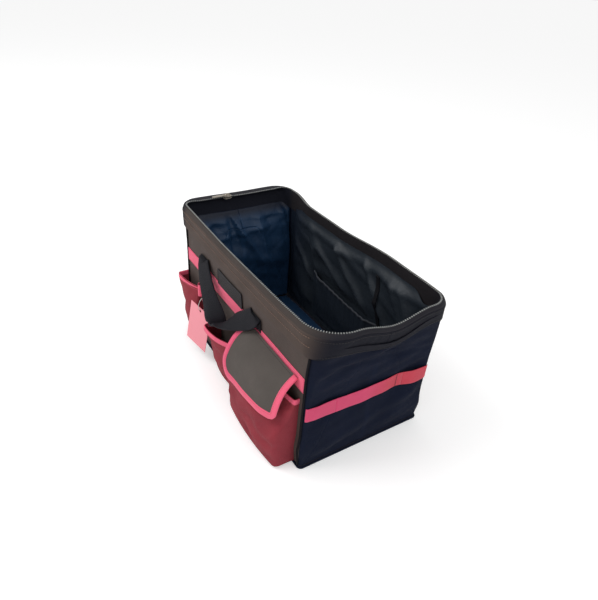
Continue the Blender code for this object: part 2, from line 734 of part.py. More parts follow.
def slider_parts(slider_body, puller_body, looks):
    """A zip slider that grips the chain at the left end, and its puller on top."""
    chain_in = WIRE_X[-1] - TAPE_IN - CHAIN_WIDTH
    post_in = chain_in - GAP - SLIDER_PLATE
    plate_out = chain_in + CHAIN_WIDTH + GAP + SLIDER_OVERLAP
    near = -SLIDER_Y - SLIDER_LENGTH / 2
    far = -SLIDER_Y + SLIDER_LENGTH / 2
    top_low = HEIGHT + GAP
    top_high = top_low + SLIDER_PLATE
    bottom_high = HEIGHT - CHAIN_HEIGHT - GAP
    bottom_low = bottom_high - SLIDER_PLATE
    under_out = plate_out - SLIDER_OVERLAP
    post_out = chain_in - GAP
    outline = [
        (post_in, bottom_low),
        (under_out, bottom_low),
        (under_out, bottom_high),
        (post_out, bottom_high),
        (post_out, top_low),
        (plate_out, top_low),
        (plate_out, top_high),
        (post_in, top_high),
    ]
    outline = [(-x, z) for x, z in outline]
    prism("zip_slider", outline, near, far, "y", looks["steel"], slider_body)

    middle_x = -(post_in + plate_out) / 2
    half = PULLER_WIDTH / 2
    low_z = top_high + 2 * GAP
    low = (middle_x - half, -SLIDER_Y - PULLER_LENGTH, low_z)
    high = (middle_x + half, -SLIDER_Y, low_z + PULLER_THICK)
    box("zip_puller", low, high, looks["steel"], puller_body)


def inner_pocket_parts(body, looks):
    back_y = FOLD_Y - 2 * GAP - LINING_THICK
    satin = looks["black_satin"]
    ends = INNER_POCKET_X
    depths = INNER_POCKET_DEPTHS
    top = INNER_POCKET_TOP
    share = POCKET_BELLY_SHARE
    pocket("inner_pocket", ends, INNER_POCKET_FOOT, top, depths, share, back_y, 0, satin, body)


def tag_parts(wall_body, tag_body, looks):
    """A blank card on a nylon ring that goes round the front of the last pen loop."""
    half = TAG_WIDTH / 2
    top = TAG_HOLE_DROP
    bottom = TAG_HOLE_DROP - TAG_HEIGHT
    outline = [(-half, bottom), (half, bottom), (half, top), (-half, top)]
    card = prism("hang_tag", outline, -TAG_THICK / 2, TAG_THICK / 2, "y", looks["tag"])
    hole = arc((0, 0), TAG_HOLE_R, 0, 2 * pi, ROUND_SIDES)[:-1]
    cutter = prism("hang_tag_hole", hole, -OVERRUN, OVERRUN, "y", looks["tag"])
    for item in (card, cutter):
        item.location = (TAG_X, -TAG_Y, TAG_HOLE_Z)
        item.rotation_euler = (-TAG_HANG, TAG_TILT, TAG_TWIST)
        hang_on(item, tag_body)
    cut(card, cutter)

    foot = Vector((TAG_X, -TAG_Y, RING_FOOT_Z))
    head = Vector((TAG_X, -SKIN_Y - LOOP_DEPTH / 2, LOOP_BOTTOM + LOOP_HEIGHT))
    middle = (foot + head) / 2
    long_half = (head - foot) / 2
    wide_half = Vector((1, 0, 0)).cross(long_half).normalized() * RING_HALF_WIDTH
    turns = [2 * pi * i / RING_STEPS for i in range(RING_STEPS)]
    points = [middle + cos(a) * long_half + sin(a) * wide_half for a in turns]
    curve_tube("tag_ring", points, RING_R, looks["nylon"], wall_body, cyclic=True)


def patch_part(body, looks):
    """A blank sewn patch between the handle's ends."""
    low = (PATCH_X - PATCH_LENGTH / 2, -SKIN_Y - PATCH_THICK, PATCH_BOTTOM)
    high = (PATCH_X + PATCH_LENGTH / 2, -SKIN_Y, PATCH_BOTTOM + PATCH_HEIGHT)
    box("front_patch", low, high, looks["dark_grey"], body)


def make_looks():
    return {
        "black_canvas": material("black_canvas", BLACK_CANVAS, 0.85),
        "navy_canvas": material("navy_canvas", NAVY_CANVAS, 0.8),
        "navy_satin": material("navy_satin", NAVY_SATIN, 0.45),
        "black_satin": material("black_satin", BLACK, 0.5),
        "pink": material("pink_webbing", PINK_WEBBING, 0.75),
        "burgundy": material("burgundy_fabric", BURGUNDY, 0.8),
        "dark_grey": material("dark_grey_fabric", DARK_GREY, 0.85),
        "strap": material("strap_webbing", NAVY_CANVAS, 0.7),
        "black": material("black_trim", BLACK, 0.6),
        "tape": material("zip_tape", TAPE_GREY, 0.8),
        "steel": material("steel", STEEL, 0.3, metallic=1.0),
        "tag": material("tag_card", TAG_PINK, 0.5),
        "nylon": material("nylon", NYLON, 0.4),
    }


def main():
    clear_scene()
    looks = make_looks()
    base_parts(looks)
    end_parts(looks)
    walls = {}
    frames = {}
    for face, way in FACES:
        wall = axis_empty(f"{face}_wall_axis", (0, way * FOLD_Y, FOLD_Z))
        frame = axis_empty(f"{face}_frame_axis", (0, way * WIRE_Y, WIRE_Z), wall)
        handle = axis_empty(f"{face}_handle_axis", (HANDLE_X, way * HANDLE_Y, HANDLE_Z), wall)
        wall_parts(face, way, wall, looks)
        zip_part(face, way, wall, looks)
        tab_parts(face, way, wall, looks)
        wire_part(face, way, frame, looks)
        rim_parts(face, way, frame, looks)
        handle_part(face, way, handle, looks)
        walls[face] = wall
        frames[face] = frame
    front = walls["front"]
    patch_part(front, looks)
    pocket_parts(front, looks)
    pen_loop_part(front, looks)
    flap_axis = axis_empty("flap_axis", (0, -FLAP_Y, FLAP_Z), front)
    flap_parts(front, flap_axis, looks)
    slider_x = -(WIRE_X[-1] - TAPE_IN - CHAIN_WIDTH)
    slider_axis = axis_empty("slider_axis", (slider_x, -SLIDER_Y, HEIGHT), frames["front"])
    pivot_z = HEIGHT + 3 * GAP + SLIDER_PLATE + PULLER_THICK / 2
    pivot_y = -SLIDER_Y - PULLER_THICK / 2
    puller_axis = axis_empty("puller_axis", (slider_x, pivot_y, pivot_z), slider_axis)
    slider_parts(slider_axis, puller_axis, looks)
    tag_axis = axis_empty("tag_axis", (TAG_X, -TAG_Y, RING_FOOT_Z), front)
    tag_parts(front, tag_axis, looks)
    inner_pocket_parts(walls["rear"], looks)


main()
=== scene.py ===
"""Looks of the open-mouth tool bag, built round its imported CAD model.

Metres, +Z up, in the CAD model's own frame: +X along the bag to its right end,
and the outside pockets on the front, which faces -Y. The cloth is modelled as
sheets that follow one soft shell, so that its layers lie on each other.

A side is -1 for the left end and 1 for the right. A way is -1 for the front and
1 for the rear. A lift is how far a layer stands off the shell.
"""
import json
from math import asin, cos, pi, radians, sin, sqrt, tan

import bmesh
import bpy
from mathutils import Matrix, Vector, noise


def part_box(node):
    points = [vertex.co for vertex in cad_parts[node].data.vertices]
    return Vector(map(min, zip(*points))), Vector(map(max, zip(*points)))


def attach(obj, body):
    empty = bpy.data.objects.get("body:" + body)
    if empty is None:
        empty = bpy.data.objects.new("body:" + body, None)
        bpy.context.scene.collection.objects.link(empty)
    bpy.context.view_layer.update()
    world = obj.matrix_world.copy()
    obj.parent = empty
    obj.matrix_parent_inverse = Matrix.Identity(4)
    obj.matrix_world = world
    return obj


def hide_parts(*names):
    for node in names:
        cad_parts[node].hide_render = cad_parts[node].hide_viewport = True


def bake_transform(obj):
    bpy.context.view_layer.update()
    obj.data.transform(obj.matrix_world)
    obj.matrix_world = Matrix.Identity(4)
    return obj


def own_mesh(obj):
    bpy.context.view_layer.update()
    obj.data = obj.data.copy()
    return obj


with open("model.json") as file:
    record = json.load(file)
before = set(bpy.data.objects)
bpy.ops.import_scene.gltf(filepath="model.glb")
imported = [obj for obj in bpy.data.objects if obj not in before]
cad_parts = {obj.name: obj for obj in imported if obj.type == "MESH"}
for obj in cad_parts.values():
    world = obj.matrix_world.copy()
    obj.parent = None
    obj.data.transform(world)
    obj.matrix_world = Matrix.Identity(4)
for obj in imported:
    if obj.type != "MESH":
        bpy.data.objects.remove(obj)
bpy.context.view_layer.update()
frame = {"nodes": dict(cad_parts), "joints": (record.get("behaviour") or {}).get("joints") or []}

MM = 0.001
ENDS = (("left", -1), ("right", 1))
FACES = (("front", -1), ("rear", 1))
FRONTWARDS = Vector((0, -1, 0))
UPWARDS = Vector((0, 0, 1))


def low(node):
    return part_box(node)[0]


def high(node):
    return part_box(node)[1]


def span(node, axis):
    """Where a CAD node starts and ends along an axis."""
    return getattr(low(node), axis), getattr(high(node), axis)


# Places taken from the CAD model
HALF_X = high("end_panel_right").x
HALF_Y = high("rear_wall").y
FOLD_Y = low("rear_wall").y
FLOOR_Z = low("rear_wall").z
BAND_Z = low("rear_band").z
HEM_Z = low("rear_rim_right").z
RIM_Z = high("rear_zip_tape").z
GABLE_Z = high("end_panel_right").z
CORNER_X = {1: high("rear_zip_tape").x, -1: -low("rear_zip_tape").x}
RIM_X = {1: high("rear_rim_right").x, -1: -low("rear_rim_left").x}
STRIP_Z = span("front_strip", "z")
END_STRIP_Z = span("end_strip_right", "z")
BOARD_X = high("base_board").x
BOARD_Y = high("base_board").y
BOARD_Z = low("base_board").z
INNER_X = span("inner_pocket", "x")
INNER_Z = span("inner_pocket", "z")
PIPING_X = (low("front_piping_right").x + high("front_piping_right").x) / 2
PIPING_R = (high("front_piping_right").x - low("front_piping_right").x) / 2
JOINTS = {joint["name"]: joint for joint in frame["joints"]}
FOLD_ANGLE = radians(JOINTS["front_wall_fold"]["range_deg"][1])
HANDLE_X, _, HINGE_Z = JOINTS["front_handle_swing"]["pos_m"]
HANDLE_Y = JOINTS["rear_handle_swing"]["pos_m"][1]
FLAP_SEAM_Y = abs(JOINTS["flap_lift"]["pos_m"][1])
FLAP_Z = JOINTS["flap_lift"]["pos_m"][2]

# Cloth thicknesses, and how far each layer stands off the shell
CANVAS = 1.6 * MM
LINING = 1.0 * MM
WEBBING = 1.4 * MM
BAND_LIFT = 1.6 * MM
STRIP_LIFT = 0.9 * MM
INNER_BAND = 6.8 * MM
LINING_DEPTH = 5.2 * MM

# The shell: ends that lean out to the rim, and corners that get rounder with height
FLARE_FROM = 0.118
FLARE_POWER = 1.8
ROUNDING_POWER = 1.5
LEFT_LEAN = 8 * MM
FLARE = {1: RIM_X[1] - BAND_LIFT - HALF_X, -1: RIM_X[-1] - BAND_LIFT - HALF_X + LEFT_LEAN}
FOOT_RADIUS = 5 * MM
LEAST_RADIUS = 1 * MM
RIM_RADIUS = {(-1, -1): 38 * MM, (-1, 1): 42 * MM, (1, -1): 66 * MM, (1, 1): 38 * MM}
FOOT_BULGE = 2.5 * MM
FOOT_BULGE_Z = 0.038
FOOT_BULGE_REACH = 0.034
SIDE_BOW = 4.0 * MM
SIDE_BOW_FROM = 0.150
SIDE_SLACK = 1.2 * MM

# The rear of the mouth has sunk: how far in and down, and between which places
REAR_PINCH = 8 * MM
REAR_DIP = 6 * MM
SLUMP_STARTS = (-0.222, -0.150)
SLUMP_ENDS = (-0.050, 0.110)
SLUMP_FROM_Z = 0.120


def smooth_step(value, start, end):
    share = min(1.0, max(0.0, (value - start) / (end - start)))
    return share * share * (3 - 2 * share)


def mix(a, b, share):
    return a + (b - a) * share


def steps(start, end, count):
    return [start + (end - start) * i / count for i in range(count + 1)]


def ripple(size, *place):
    """Soft noise from -1 to 1, with bumps of about the given size along each axis."""
    sizes = size if isinstance(size, tuple) else (size,) * 3
    return noise.noise(Vector([p / s for p, s in zip(place, sizes)]))


def bump_at(value, centre, width):
    """1 at the centre, falling smoothly to 0 at a distance of the width."""
    return smooth_step(width - abs(value - centre), 0, width)


def side_of(x):
    return 1 if x > 0 else -1


def shell_sizes(z, side, way, lift=0.0):
    """Half sizes of the shell at a height, and the radius of one of its corners."""
    rise = min(1.0, max(0.0, (z - FLARE_FROM) / (RIM_Z - FLARE_FROM))) ** FLARE_POWER
    radius = mix(FOOT_RADIUS, RIM_RADIUS[side, way], rise ** ROUNDING_POWER)
    swell = FOOT_BULGE * bump_at(z, FOOT_BULGE_Z, FOOT_BULGE_REACH)
    half_x = HALF_X + FLARE[side] * rise + swell + lift
    return half_x, HALF_Y + swell + lift, max(radius + lift, LEAST_RADIUS)


def rounded(half, radius, beyond):
    """How far out a side of the shell lies, some way beyond the start of its rounded corner."""
    over = min(radius, max(0.0, beyond))
    return half - radius + sqrt(radius ** 2 - over ** 2)


def slump(x, z, way):
    """How far the rear of the mouth has sunk, from 0 to 1: most towards the left end."""
    if way < 0:
        return 0.0
    along = smooth_step(x, *SLUMP_STARTS) * (1 - smooth_step(x, *SLUMP_ENDS))
    return along * smooth_step(z, SLUMP_FROM_Z, RIM_Z)


def side_point(x, z, way, lift=0.0):
    """A place on a long side of the shell."""
    bare_x, _, bare_radius = shell_sizes(z, side_of(x), way)
    middle = max(0.0, 1 - (x / (bare_x - bare_radius)) ** 2)
    bow = SIDE_BOW * smooth_step(z, SIDE_BOW_FROM, RIM_Z) * middle
    slack = SIDE_SLACK * ripple((0.09, 1, 0.05), x, way * 3.0, z) * min(1.0, 3 * middle)
    sunk = slump(x, z, way)
    half_x, half_y, radius = shell_sizes(z, side_of(x), way, lift)
    y = rounded(half_y, radius, abs(x) - (half_x - radius)) + bow + slack - REAR_PINCH * sunk
    return Vector((x, way * y, z - REAR_DIP * sunk))


def end_slack(y, z, side):
    """Hangs and folds of an end panel, zero at its seams."""
    edge = smooth_step(HALF_Y - abs(y), 0, 0.030) * smooth_step(z, FLOOR_Z, 0.040)
    under_band = smooth_step(BAND_Z - z, -0.004, 0.016)
    swell = 4.0 * MM * bump_at(z, 0.060, 0.055)
    pull = -4.0 * MM * bump_at(z, 0.128, 0.040)
    seed = 11.0 * side
    fold = 4.6 * MM * ripple((0.12, 0.024, 1), y + 0.6 * z, z - 0.25 * side * y, seed)
    sag = 3.6 * MM * ripple((0.042, 0.05, 1), y, z, seed + 4)
    drape = 3.4 * MM * bump_at(z + 0.10 * abs(y), 0.214, 0.016)
    crease = -2.4 * MM * bump_at(z + 0.16 * side * y, 0.190, 0.010)
    return edge * (swell + pull + (fold + sag + drape + crease) * under_band)


def end_point(y, z, side, lift=0.0):
    """A place on an end of the shell."""
    half_x, half_y, radius = shell_sizes(z, side, side_of(y), lift)
    x = rounded(half_x, radius, abs(y) - (half_y - radius))
    return Vector((side * (x + end_slack(y, z, side)), y, z))


def end_reach(z, side, way, lift=0.0):
    """How far out in y an end panel runs at a height: as far as the corner piping."""
    half_x, half_y, radius = shell_sizes(z, side, way, lift)
    return rounded(half_y, radius, PIPING_X - (half_x - radius))


# Materials

def node(tree, kind, inputs=(), **settings):
    """A new node. Each input, by name or place, is a number, a colour or another node's output."""
    made = tree.nodes.new(kind)
    for name, value in settings.items():
        setattr(made, name, value)
    for key, value in dict(inputs).items():
        if isinstance(value, bpy.types.NodeSocket):
            tree.links.new(value, made.inputs[key])
        else:
            made.inputs[key].default_value = value
    return made


def maths(tree, operation, *values):
    return node(tree, "ShaderNodeMath", enumerate(values), operation=operation).outputs[0]


def noise_node(tree, vector, scale, detail=2.0, rough=0.5):
    inputs = {"Vector": vector, "Scale": scale, "Detail": detail, "Roughness": rough}
    return node(tree, "ShaderNodeTexNoise", inputs).outputs["Fac"]


def mix_node(tree, factor, first, second):
    return node(tree, "ShaderNodeMix", {0: factor, 6: first, 7: second}, data_type="RGBA").outputs[2]


def bump_node(tree, height, strength, distance):
    return node(tree, "ShaderNodeBump", {"Height": height, "Strength": strength, "Distance": distance})


def linear(colour):
    """An sRGB colour of 0 to 255 as the linear colour that a shader takes."""
    shares = [c / 255 for c in colour]
    values = [c / 12.92 if c <= 0.04045 else ((c + 0.055) / 1.055) ** 2.4 for c in shares]
    return (*values, 1.0)


def new_material(name):
    """A material, its node tree and its shader."""
    made = bpy.data.materials.new(name)
    made.use_nodes = True
    return made, made.node_tree, made.node_tree.nodes["Principled BSDF"]


def wave_height(tree, u, v, pattern, pitch):
    """Height of a weave from 0 to 1, from UVs in metres."""
    turn = 2 * pi / pitch
    across = maths(tree, "SINE", maths(tree, "MULTIPLY", u, turn))
    along = maths(tree, "SINE", maths(tree, "MULTIPLY", v, turn))
    if pattern == "ribs":
        fine = maths(tree, "MULTIPLY", across, 0.25)
        height = maths(tree, "ADD", maths(tree, "MULTIPLY", along, 0.75), fine)
    elif pattern == "twill":
        slant = maths(tree, "SINE", maths(tree, "MULTIPLY", maths(tree, "ADD", u, v), turn))
        height = maths(tree, "ADD", slant, maths(tree, "MULTIPLY", across, 0.3))
    else:
        height = maths(tree, "MULTIPLY", across, along)
    return maths(tree, "MULTIPLY_ADD", height, 0.5, 0.5)


def fabric(name, colour, other=None, pattern="weave", pitch=0.9, depth=0.35, rough=0.85,
           sheen=0.0, vary=0.22, creases=0.0, fuzz=0.12, spec=0.3):
    """Cloth: a weave of the given pitch in mm, with slow and fine changes of shade.

    other is a second colour, which the mesh's tint attribute brings in.
    """
    made, tree, shader = new_material(name)
    uv = node(tree, "ShaderNodeTexCoord").outputs["UV"]
    split = node(tree, "ShaderNodeSeparateXYZ", {0: uv})
    height = wave_height(tree, split.outputs[0], split.outputs[1], pattern, pitch * MM)
    slow = noise_node(tree, uv, 22.0, 3.0)
    fine = noise_node(tree, uv, 700.0)
    base = linear(colour)[:3]
    if other is not None:
        tint = node(tree, "ShaderNodeAttribute", attribute_name="tint").outputs["Fac"]
        base = mix_node(tree, tint, linear(colour), linear(other))
    shade = maths(tree, "MULTIPLY_ADD", slow, vary, 1 - vary / 2)
    grain = maths(tree, "MULTIPLY_ADD", height, 0.22, 0.89)
    lint = maths(tree, "MULTIPLY_ADD", fine, fuzz, 1 - fuzz / 2)
    # Pointiness lightens convex edges a little, as wear, and darkens hollows and creases by up to a tenth,
    # which is painted shade.
    edges = node(tree, "ShaderNodeNewGeometry").outputs["Pointiness"]
    wear_and_hollow_shade = maths(tree, "MAXIMUM", maths(tree, "MULTIPLY_ADD", edges, 1.2, 0.4), 0.9)
    total = maths(tree, "MULTIPLY", maths(tree, "MULTIPLY", shade, grain), lint)
    total = maths(tree, "MULTIPLY", total, maths(tree, "MINIMUM", wear_and_hollow_shade, 1.2))
    scaled = node(tree, "ShaderNodeVectorMath", {0: base, "Scale": total}, operation="SCALE")
    tree.links.new(scaled.outputs[0], shader.inputs["Base Color"])
    tree.links.new(maths(tree, "MULTIPLY_ADD", slow, -0.12, rough + 0.06), shader.inputs["Roughness"])
    shader.inputs["Sheen Weight"].default_value = sheen
    shader.inputs["Sheen Roughness"].default_value = 0.5
    shader.inputs["Specular IOR Level"].default_value = spec
    threads = maths(tree, "ADD", height, maths(tree, "MULTIPLY", fine, 0.5))
    relief = bump_node(tree, threads, depth, 0.35 * MM)
    if creases:
        crumpled = noise_node(tree, uv, 38.0, 3.0, 0.55)
        ridge = maths(tree, "ABSOLUTE", maths(tree, "SUBTRACT", crumpled, 0.5))
        folds = bump_node(tree, ridge, creases, 8 * MM)
        tree.links.new(relief.outputs[0], folds.inputs["Normal"])
        relief = folds
    tree.links.new(relief.outputs[0], shader.inputs["Normal"])
    return made


def hard(name, colour, rough, metallic=0.0, vary=0.15, scale=60.0):
    """Metal, card or plastic, with slight smudges and fine scratches."""
    made, tree, shader = new_material(name)
    place = node(tree, "ShaderNodeTexCoord").outputs["Object"]
    slow = noise_node(tree, place, scale, 3.0)
    fine = noise_node(tree, place, scale * 25)
    tone = linear(colour)
    dark = tuple(c * (1 - vary) for c in tone[:3]) + (1.0,)
    tree.links.new(mix_node(tree, slow, dark, tone), shader.inputs["Base Color"])
    tree.links.new(maths(tree, "MULTIPLY_ADD", slow, 0.2, rough - 0.1), shader.inputs["Roughness"])
    shader.inputs["Metallic"].default_value = metallic
    tree.links.new(bump_node(tree, fine, 0.12, 0.2 * MM).outputs[0], shader.inputs["Normal"])
    return made


SATIN = {"pitch": 0.5, "depth": 0.1, "rough": 0.48, "creases": 0.2, "vary": 0.4, "fuzz": 0.04, "spec": 0.28}
RIBBED = {"pattern": "ribs", "pitch": 1.3, "depth": 0.6, "rough": 0.7, "sheen": 0.1}
LOOKS = {
    # Painted light: the wall canvas's brown first colour is warm lamp light painted onto black canvas; its
    # second colour is the canvas's own near-black.
    "canvas_with_painted_light": fabric("canvas_with_painted_light", (74, 64, 60), (34, 32, 42), creases=0.2, vary=0.35),
    "navy_canvas": fabric("navy_canvas", (13, 20, 38), (20, 22, 34), creases=0.25, vary=0.5, spec=0.12),
    # Painted light: the band and inner band carry a painted warm-lit brown as their first colour, with their
    # own near-black as their second.
    "band_canvas": fabric("band_canvas", (76, 65, 60), (15, 16, 26), pitch=1.1, creases=0.12, vary=0.35,
                          spec=0.2),
    "inner_band": fabric("inner_band", (30, 27, 30), (16, 18, 28), pitch=1.1, vary=0.35, spec=0.2),
    "elastic": fabric("pocket_elastic", (66, 68, 74), pattern="ribs", pitch=0.8, rough=0.6, vary=0.3),
    "navy_satin": fabric("navy_satin", (25, 50, 78), (15, 24, 42), **SATIN),
    "black_satin": fabric("black_satin", (36, 42, 49), (22, 29, 41), **SATIN),
    "pink": fabric("pink_webbing", (232, 92, 122), (208, 66, 110), vary=0.2, **RIBBED),
    "end_pink": fabric("end_pink_webbing", (208, 66, 106), (198, 60, 78), vary=0.25, **RIBBED),
    "burgundy": fabric("burgundy_canvas", (146, 50, 60), (100, 32, 44), pattern="ribs", pitch=1.5, depth=0.8,
                       creases=0.35, vary=0.4),
    "flap": fabric("flap_canvas", (80, 74, 70), (64, 58, 56), creases=0.15, vary=0.35),
    "strap": fabric("strap_webbing", (21, 21, 27), (17, 17, 22), pattern="twill", pitch=1.8, depth=0.7,
                    rough=0.65, vary=0.4, spec=0.15),
    "black": fabric("black_trim", (16, 15, 19), pitch=0.7, rough=0.7, spec=0.1),
    # Painted light: the zip tape's brown first colour is painted warm light; its second is its own dark
    # colour.
    "tape": fabric("zip_tape", (62, 55, 52), (30, 29, 35), pattern="ribs", rough=0.8, spec=0.2),
    "patch": fabric("patch_cloth", (34, 31, 33), pattern="twill", pitch=0.8, rough=0.75),
    "teeth": hard("zip_teeth", (146, 148, 146), 0.4),
    "tan_thread": hard("tan_thread", (128, 100, 84), 0.7),
    "dark_thread": hard("dark_thread", (36, 34, 38), 0.7),
    "pink_thread": hard("pink_thread", (214, 92, 114), 0.7),
    "card": hard("tag_card", (240, 146, 158), 0.45, vary=0.06, scale=25.0),
    "nylon": hard("nylon", (214, 212, 206), 0.35),
    "steel": hard("drawn_steel", (150, 152, 156), 0.35, metallic=1.0),
    "slider": hard("slider_metal", (176, 168, 156), 0.34, metallic=1.0),
}

# Mesh building. Every mesh has a UV map in metres, which the weaves follow.

PIECES = []
UV_SHIFT = 0.37
UV_SHIFTS = 23


def add_object(name, data):
    item = bpy.data.objects.new(name, data)
    bpy.context.scene.collection.objects.link(item)
    return item


def arc_lengths(points):
    lengths = [0.0]
    for first, second in zip(points, points[1:]):
        lengths.append(lengths[-1] + (second - first).length)
    return lengths


def build(name, points, faces, uvs, look, tint=None):
    """A piece with a look. tint is one number, or a function of the place, for the look's second colour."""
    mesh = bpy.data.meshes.new(name)
    mesh.from_pydata(points, [], faces)
    mesh.materials.append(LOOKS[look])
    layer = mesh.uv_layers.new(name="UVMap")
    shift = UV_SHIFT * (len(PIECES) % UV_SHIFTS)
    layer.data.foreach_set("uv", [value + shift for uv in uvs for value in uv])
    if tint is not None:
        shades = mesh.attributes.new("tint", "FLOAT", "POINT")
        shades.data.foreach_set("value", [tint(point) if callable(tint) else tint for point in points])
    mesh.shade_smooth()
    item = add_object(name, mesh)
    PIECES.append(item)
    return item


def edit(mesh, change, *values):
    """Runs a change on a mesh through bmesh."""
    mesh_edit = bmesh.new()
    mesh_edit.from_mesh(mesh)
    change(mesh_edit, *values)
    mesh_edit.to_mesh(mesh)
    mesh_edit.free()


def face_outwards(mesh_edit):
    bmesh.ops.recalc_face_normals(mesh_edit, faces=mesh_edit.faces)


def crisp_borders(mesh_edit):
    for edge in mesh_edit.edges:
        edge.smooth = not edge.is_boundary


def thicken(item, thick):
    """Gives a sheet its thickness, inwards from its outer face."""
    solid = item.modifiers.new("cloth", "SOLIDIFY")
    solid.thickness = thick
    solid.offset = -1.0


def quads(row_count, count, round_rows=False, round_columns=False):
    """Faces over rows of points, and the row and column of each face's corners."""
    corners = []
    for i in range(row_count if round_rows else row_count - 1):
        for j in range(count if round_columns else count - 1):
            corners += [(i, j), (i, j + 1), (i + 1, j + 1), (i + 1, j)]
    places = [(i % row_count) * count + j % count for i, j in corners]
    faces = [tuple(places[n:n + 4]) for n in range(0, len(places), 4)]
    return faces, corners


def grid(name, rows, look, thick=0.0, facing=None, closed=False, tint=None):
    """A sheet through rows of points, whose outer face looks the way that facing points."""
    count = len(rows[0])
    middle = rows[len(rows) // 2]
    across = arc_lengths(middle + middle[:1])
    along = arc_lengths([row[count // 2] for row in rows])
    faces, corners = quads(len(rows), count, round_columns=closed)
    points = [point for row in rows for point in row]
    if facing is not None:
        a, b, c, d = faces[len(faces) // 2]
        if (points[c] - points[a]).cross(points[d] - points[b]).dot(facing) < 0:
            faces = [face[::-1] for face in faces]
            corners = [corner for n in range(0, len(corners), 4) for corner in corners[n:n + 4][::-1]]
    item = build(name, points, faces, [(across[j], along[i]) for i, j in corners], look, tint)
    if thick:
        edit(item.data, crisp_borders)
        thicken(item, thick)
    return item


def sweep(name, stations, look, sides=12, power=5.0, closed=False, tint=None):
    """A tube through stations of (centre, wide, thick): a flat band, or round with power 2."""
    shares = []
    for i in range(sides):
        turn = 2 * pi * (i + 0.5) / sides
        shares.append([abs(part) ** (2 / power) * side_of(part) for part in (cos(turn), sin(turn))])
    rows = [[centre + wide * a + thick * b for a, b in shares] for centre, wide, thick in stations]
    across = arc_lengths(rows[0] + rows[0][:1])
    centres = [station[0] for station in stations]
    along = arc_lengths(centres + centres[:1])
    count = len(rows)
    faces, corners = quads(count, sides, round_rows=closed, round_columns=True)
    if not closed:
        for row in (0, count - 1):
            faces.append([row * sides + j for j in range(sides)])
            corners += [(row, j) for j in range(sides)]
    uvs = [(across[j], along[i]) for i, j in corners]
    item = build(name, [point for row in rows for point in row], faces, uvs, look, tint)
    edit(item.data, face_outwards)
    return item


# A direction that no tube runs along
ASIDE = Vector((0.31, 0.17, 0.93))


def round_tube(name, centres, radius, look, closed=False, sides=10):
    stations = []
    count = len(centres)
    for i, centre in enumerate(centres):
        before = centres[(i - 1) % count] if closed or i else centre
        after = centres[(i + 1) % count] if closed or i < count - 1 else centre
        along = (after - before).normalized()
        side = along.cross(ASIDE).normalized()
        stations.append((centre, side * radius, along.cross(side) * radius))
    return sweep(name, stations, look, sides=sides, power=2.0, closed=closed)


def ribbon(name, first, second, normals, thick, look, tint=None):
    """A flat band between two edge lines, whose faces look along the normals."""
    stations = []
    for a, b, normal in zip(first, second, normals):
        wide = (b - a) / 2
        out = normal - normal.project(wide) if wide.length > 0 else normal
        stations.append(((a + b) / 2, wide, out.normalized() * thick / 2))
    return sweep(name, stations, look, tint=tint)


BEAD_SIDES = 6
BEAD_RINGS = ((-1.0, 0.45), (-0.75, 0.9), (0.0, 1.0), (0.75, 0.9), (1.0, 0.45))


def bead():
    """Points and faces of one unit bead along X."""
    points = []
    for x, radius in BEAD_RINGS:
        for i in range(BEAD_SIDES):
            turn = 2 * pi * (i + 0.5) / BEAD_SIDES
            points.append((x, radius * cos(turn), radius * sin(turn)))
    faces, _ = quads(len(BEAD_RINGS), BEAD_SIDES, round_columns=True)
    faces.append(tuple(range(BEAD_SIDES))[::-1])
    faces.append(tuple(range(len(points) - BEAD_SIDES, len(points))))
    return points, faces


def row_of(name, places, look):
    """Copies of a bead in one mesh. A place is a centre and three half axes."""
    unit, unit_faces = bead()
    points = []
    faces = []
    for centre, along, side, up in places:
        start = len(points)
        points += [centre + along * x + side * y + up * z for x, y, z in unit]
        faces += [[start + i for i in face] for face in unit_faces]
    uvs = [(points[i].x, points[i].z) for face in faces for i in face]
    item = build(name, points, faces, uvs, look)
    edit(item.data, face_outwards)
    return item


def walk(path, normals, pitch):
    """Places a pitch apart along a path: (centre, direction, normal)."""
    lengths = arc_lengths(path)
    count = max(1, int(lengths[-1] / pitch))
    places = []
    i = 0
    for n in range(count):
        at = lengths[-1] * (n + 0.5) / count
        while i < len(path) - 2 and lengths[i + 1] < at:
            i += 1
        share = (at - lengths[i]) / max(1e-9, lengths[i + 1] - lengths[i])
        along = (path[i + 1] - path[i]).normalized()
        normal = normals[i].lerp(normals[i + 1], share)
        normal = (normal - normal.project(along)).normalized()
        places.append((path[i].lerp(path[i + 1], share), along, normal))
    return places


def stitches(name, path, normals, look="tan_thread", pitch=4.2, length=2.9, width=0.42):
    """A row of thread stitches on a surface. Sizes in mm."""
    places = []
    for centre, along, normal in walk(path, normals, pitch * MM):
        side = along.cross(normal)
        half = width * MM
        places.append((centre + normal * 0.1 * MM, along * length * MM / 2, side * half, normal * half * 0.8))
    return row_of(name, places, look)


# Where the pieces go: the bodies they ride on, and the CAD nodes that they stand for


def settle(item, body, slot, *nodes):
    """Lets a piece ride on a body, with the CAD nodes that it stands for."""
    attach(item, body)
    if nodes:
        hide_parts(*nodes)


def fold_flat(item, way, slot, *nodes):
    """Puts a loose end piece on the base body, with the CAD nodes that it stands for, and gives it a mesh of
    its own.
    """
    settle(item, "base", slot, *nodes)
    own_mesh(item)


def bend_round(item, face, side, slot, *nodes):
    """Bakes a rim piece's place into its mesh, and hides the CAD nodes that it stands for."""
    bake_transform(item)
    if nodes:
        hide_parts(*nodes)


# The mouth: band, upright zip tape with teeth, and the wire, round each quarter of the rim.
# A share runs 0 to 1 along the side, to 2 round the corner, and to 3 at the middle of the end.

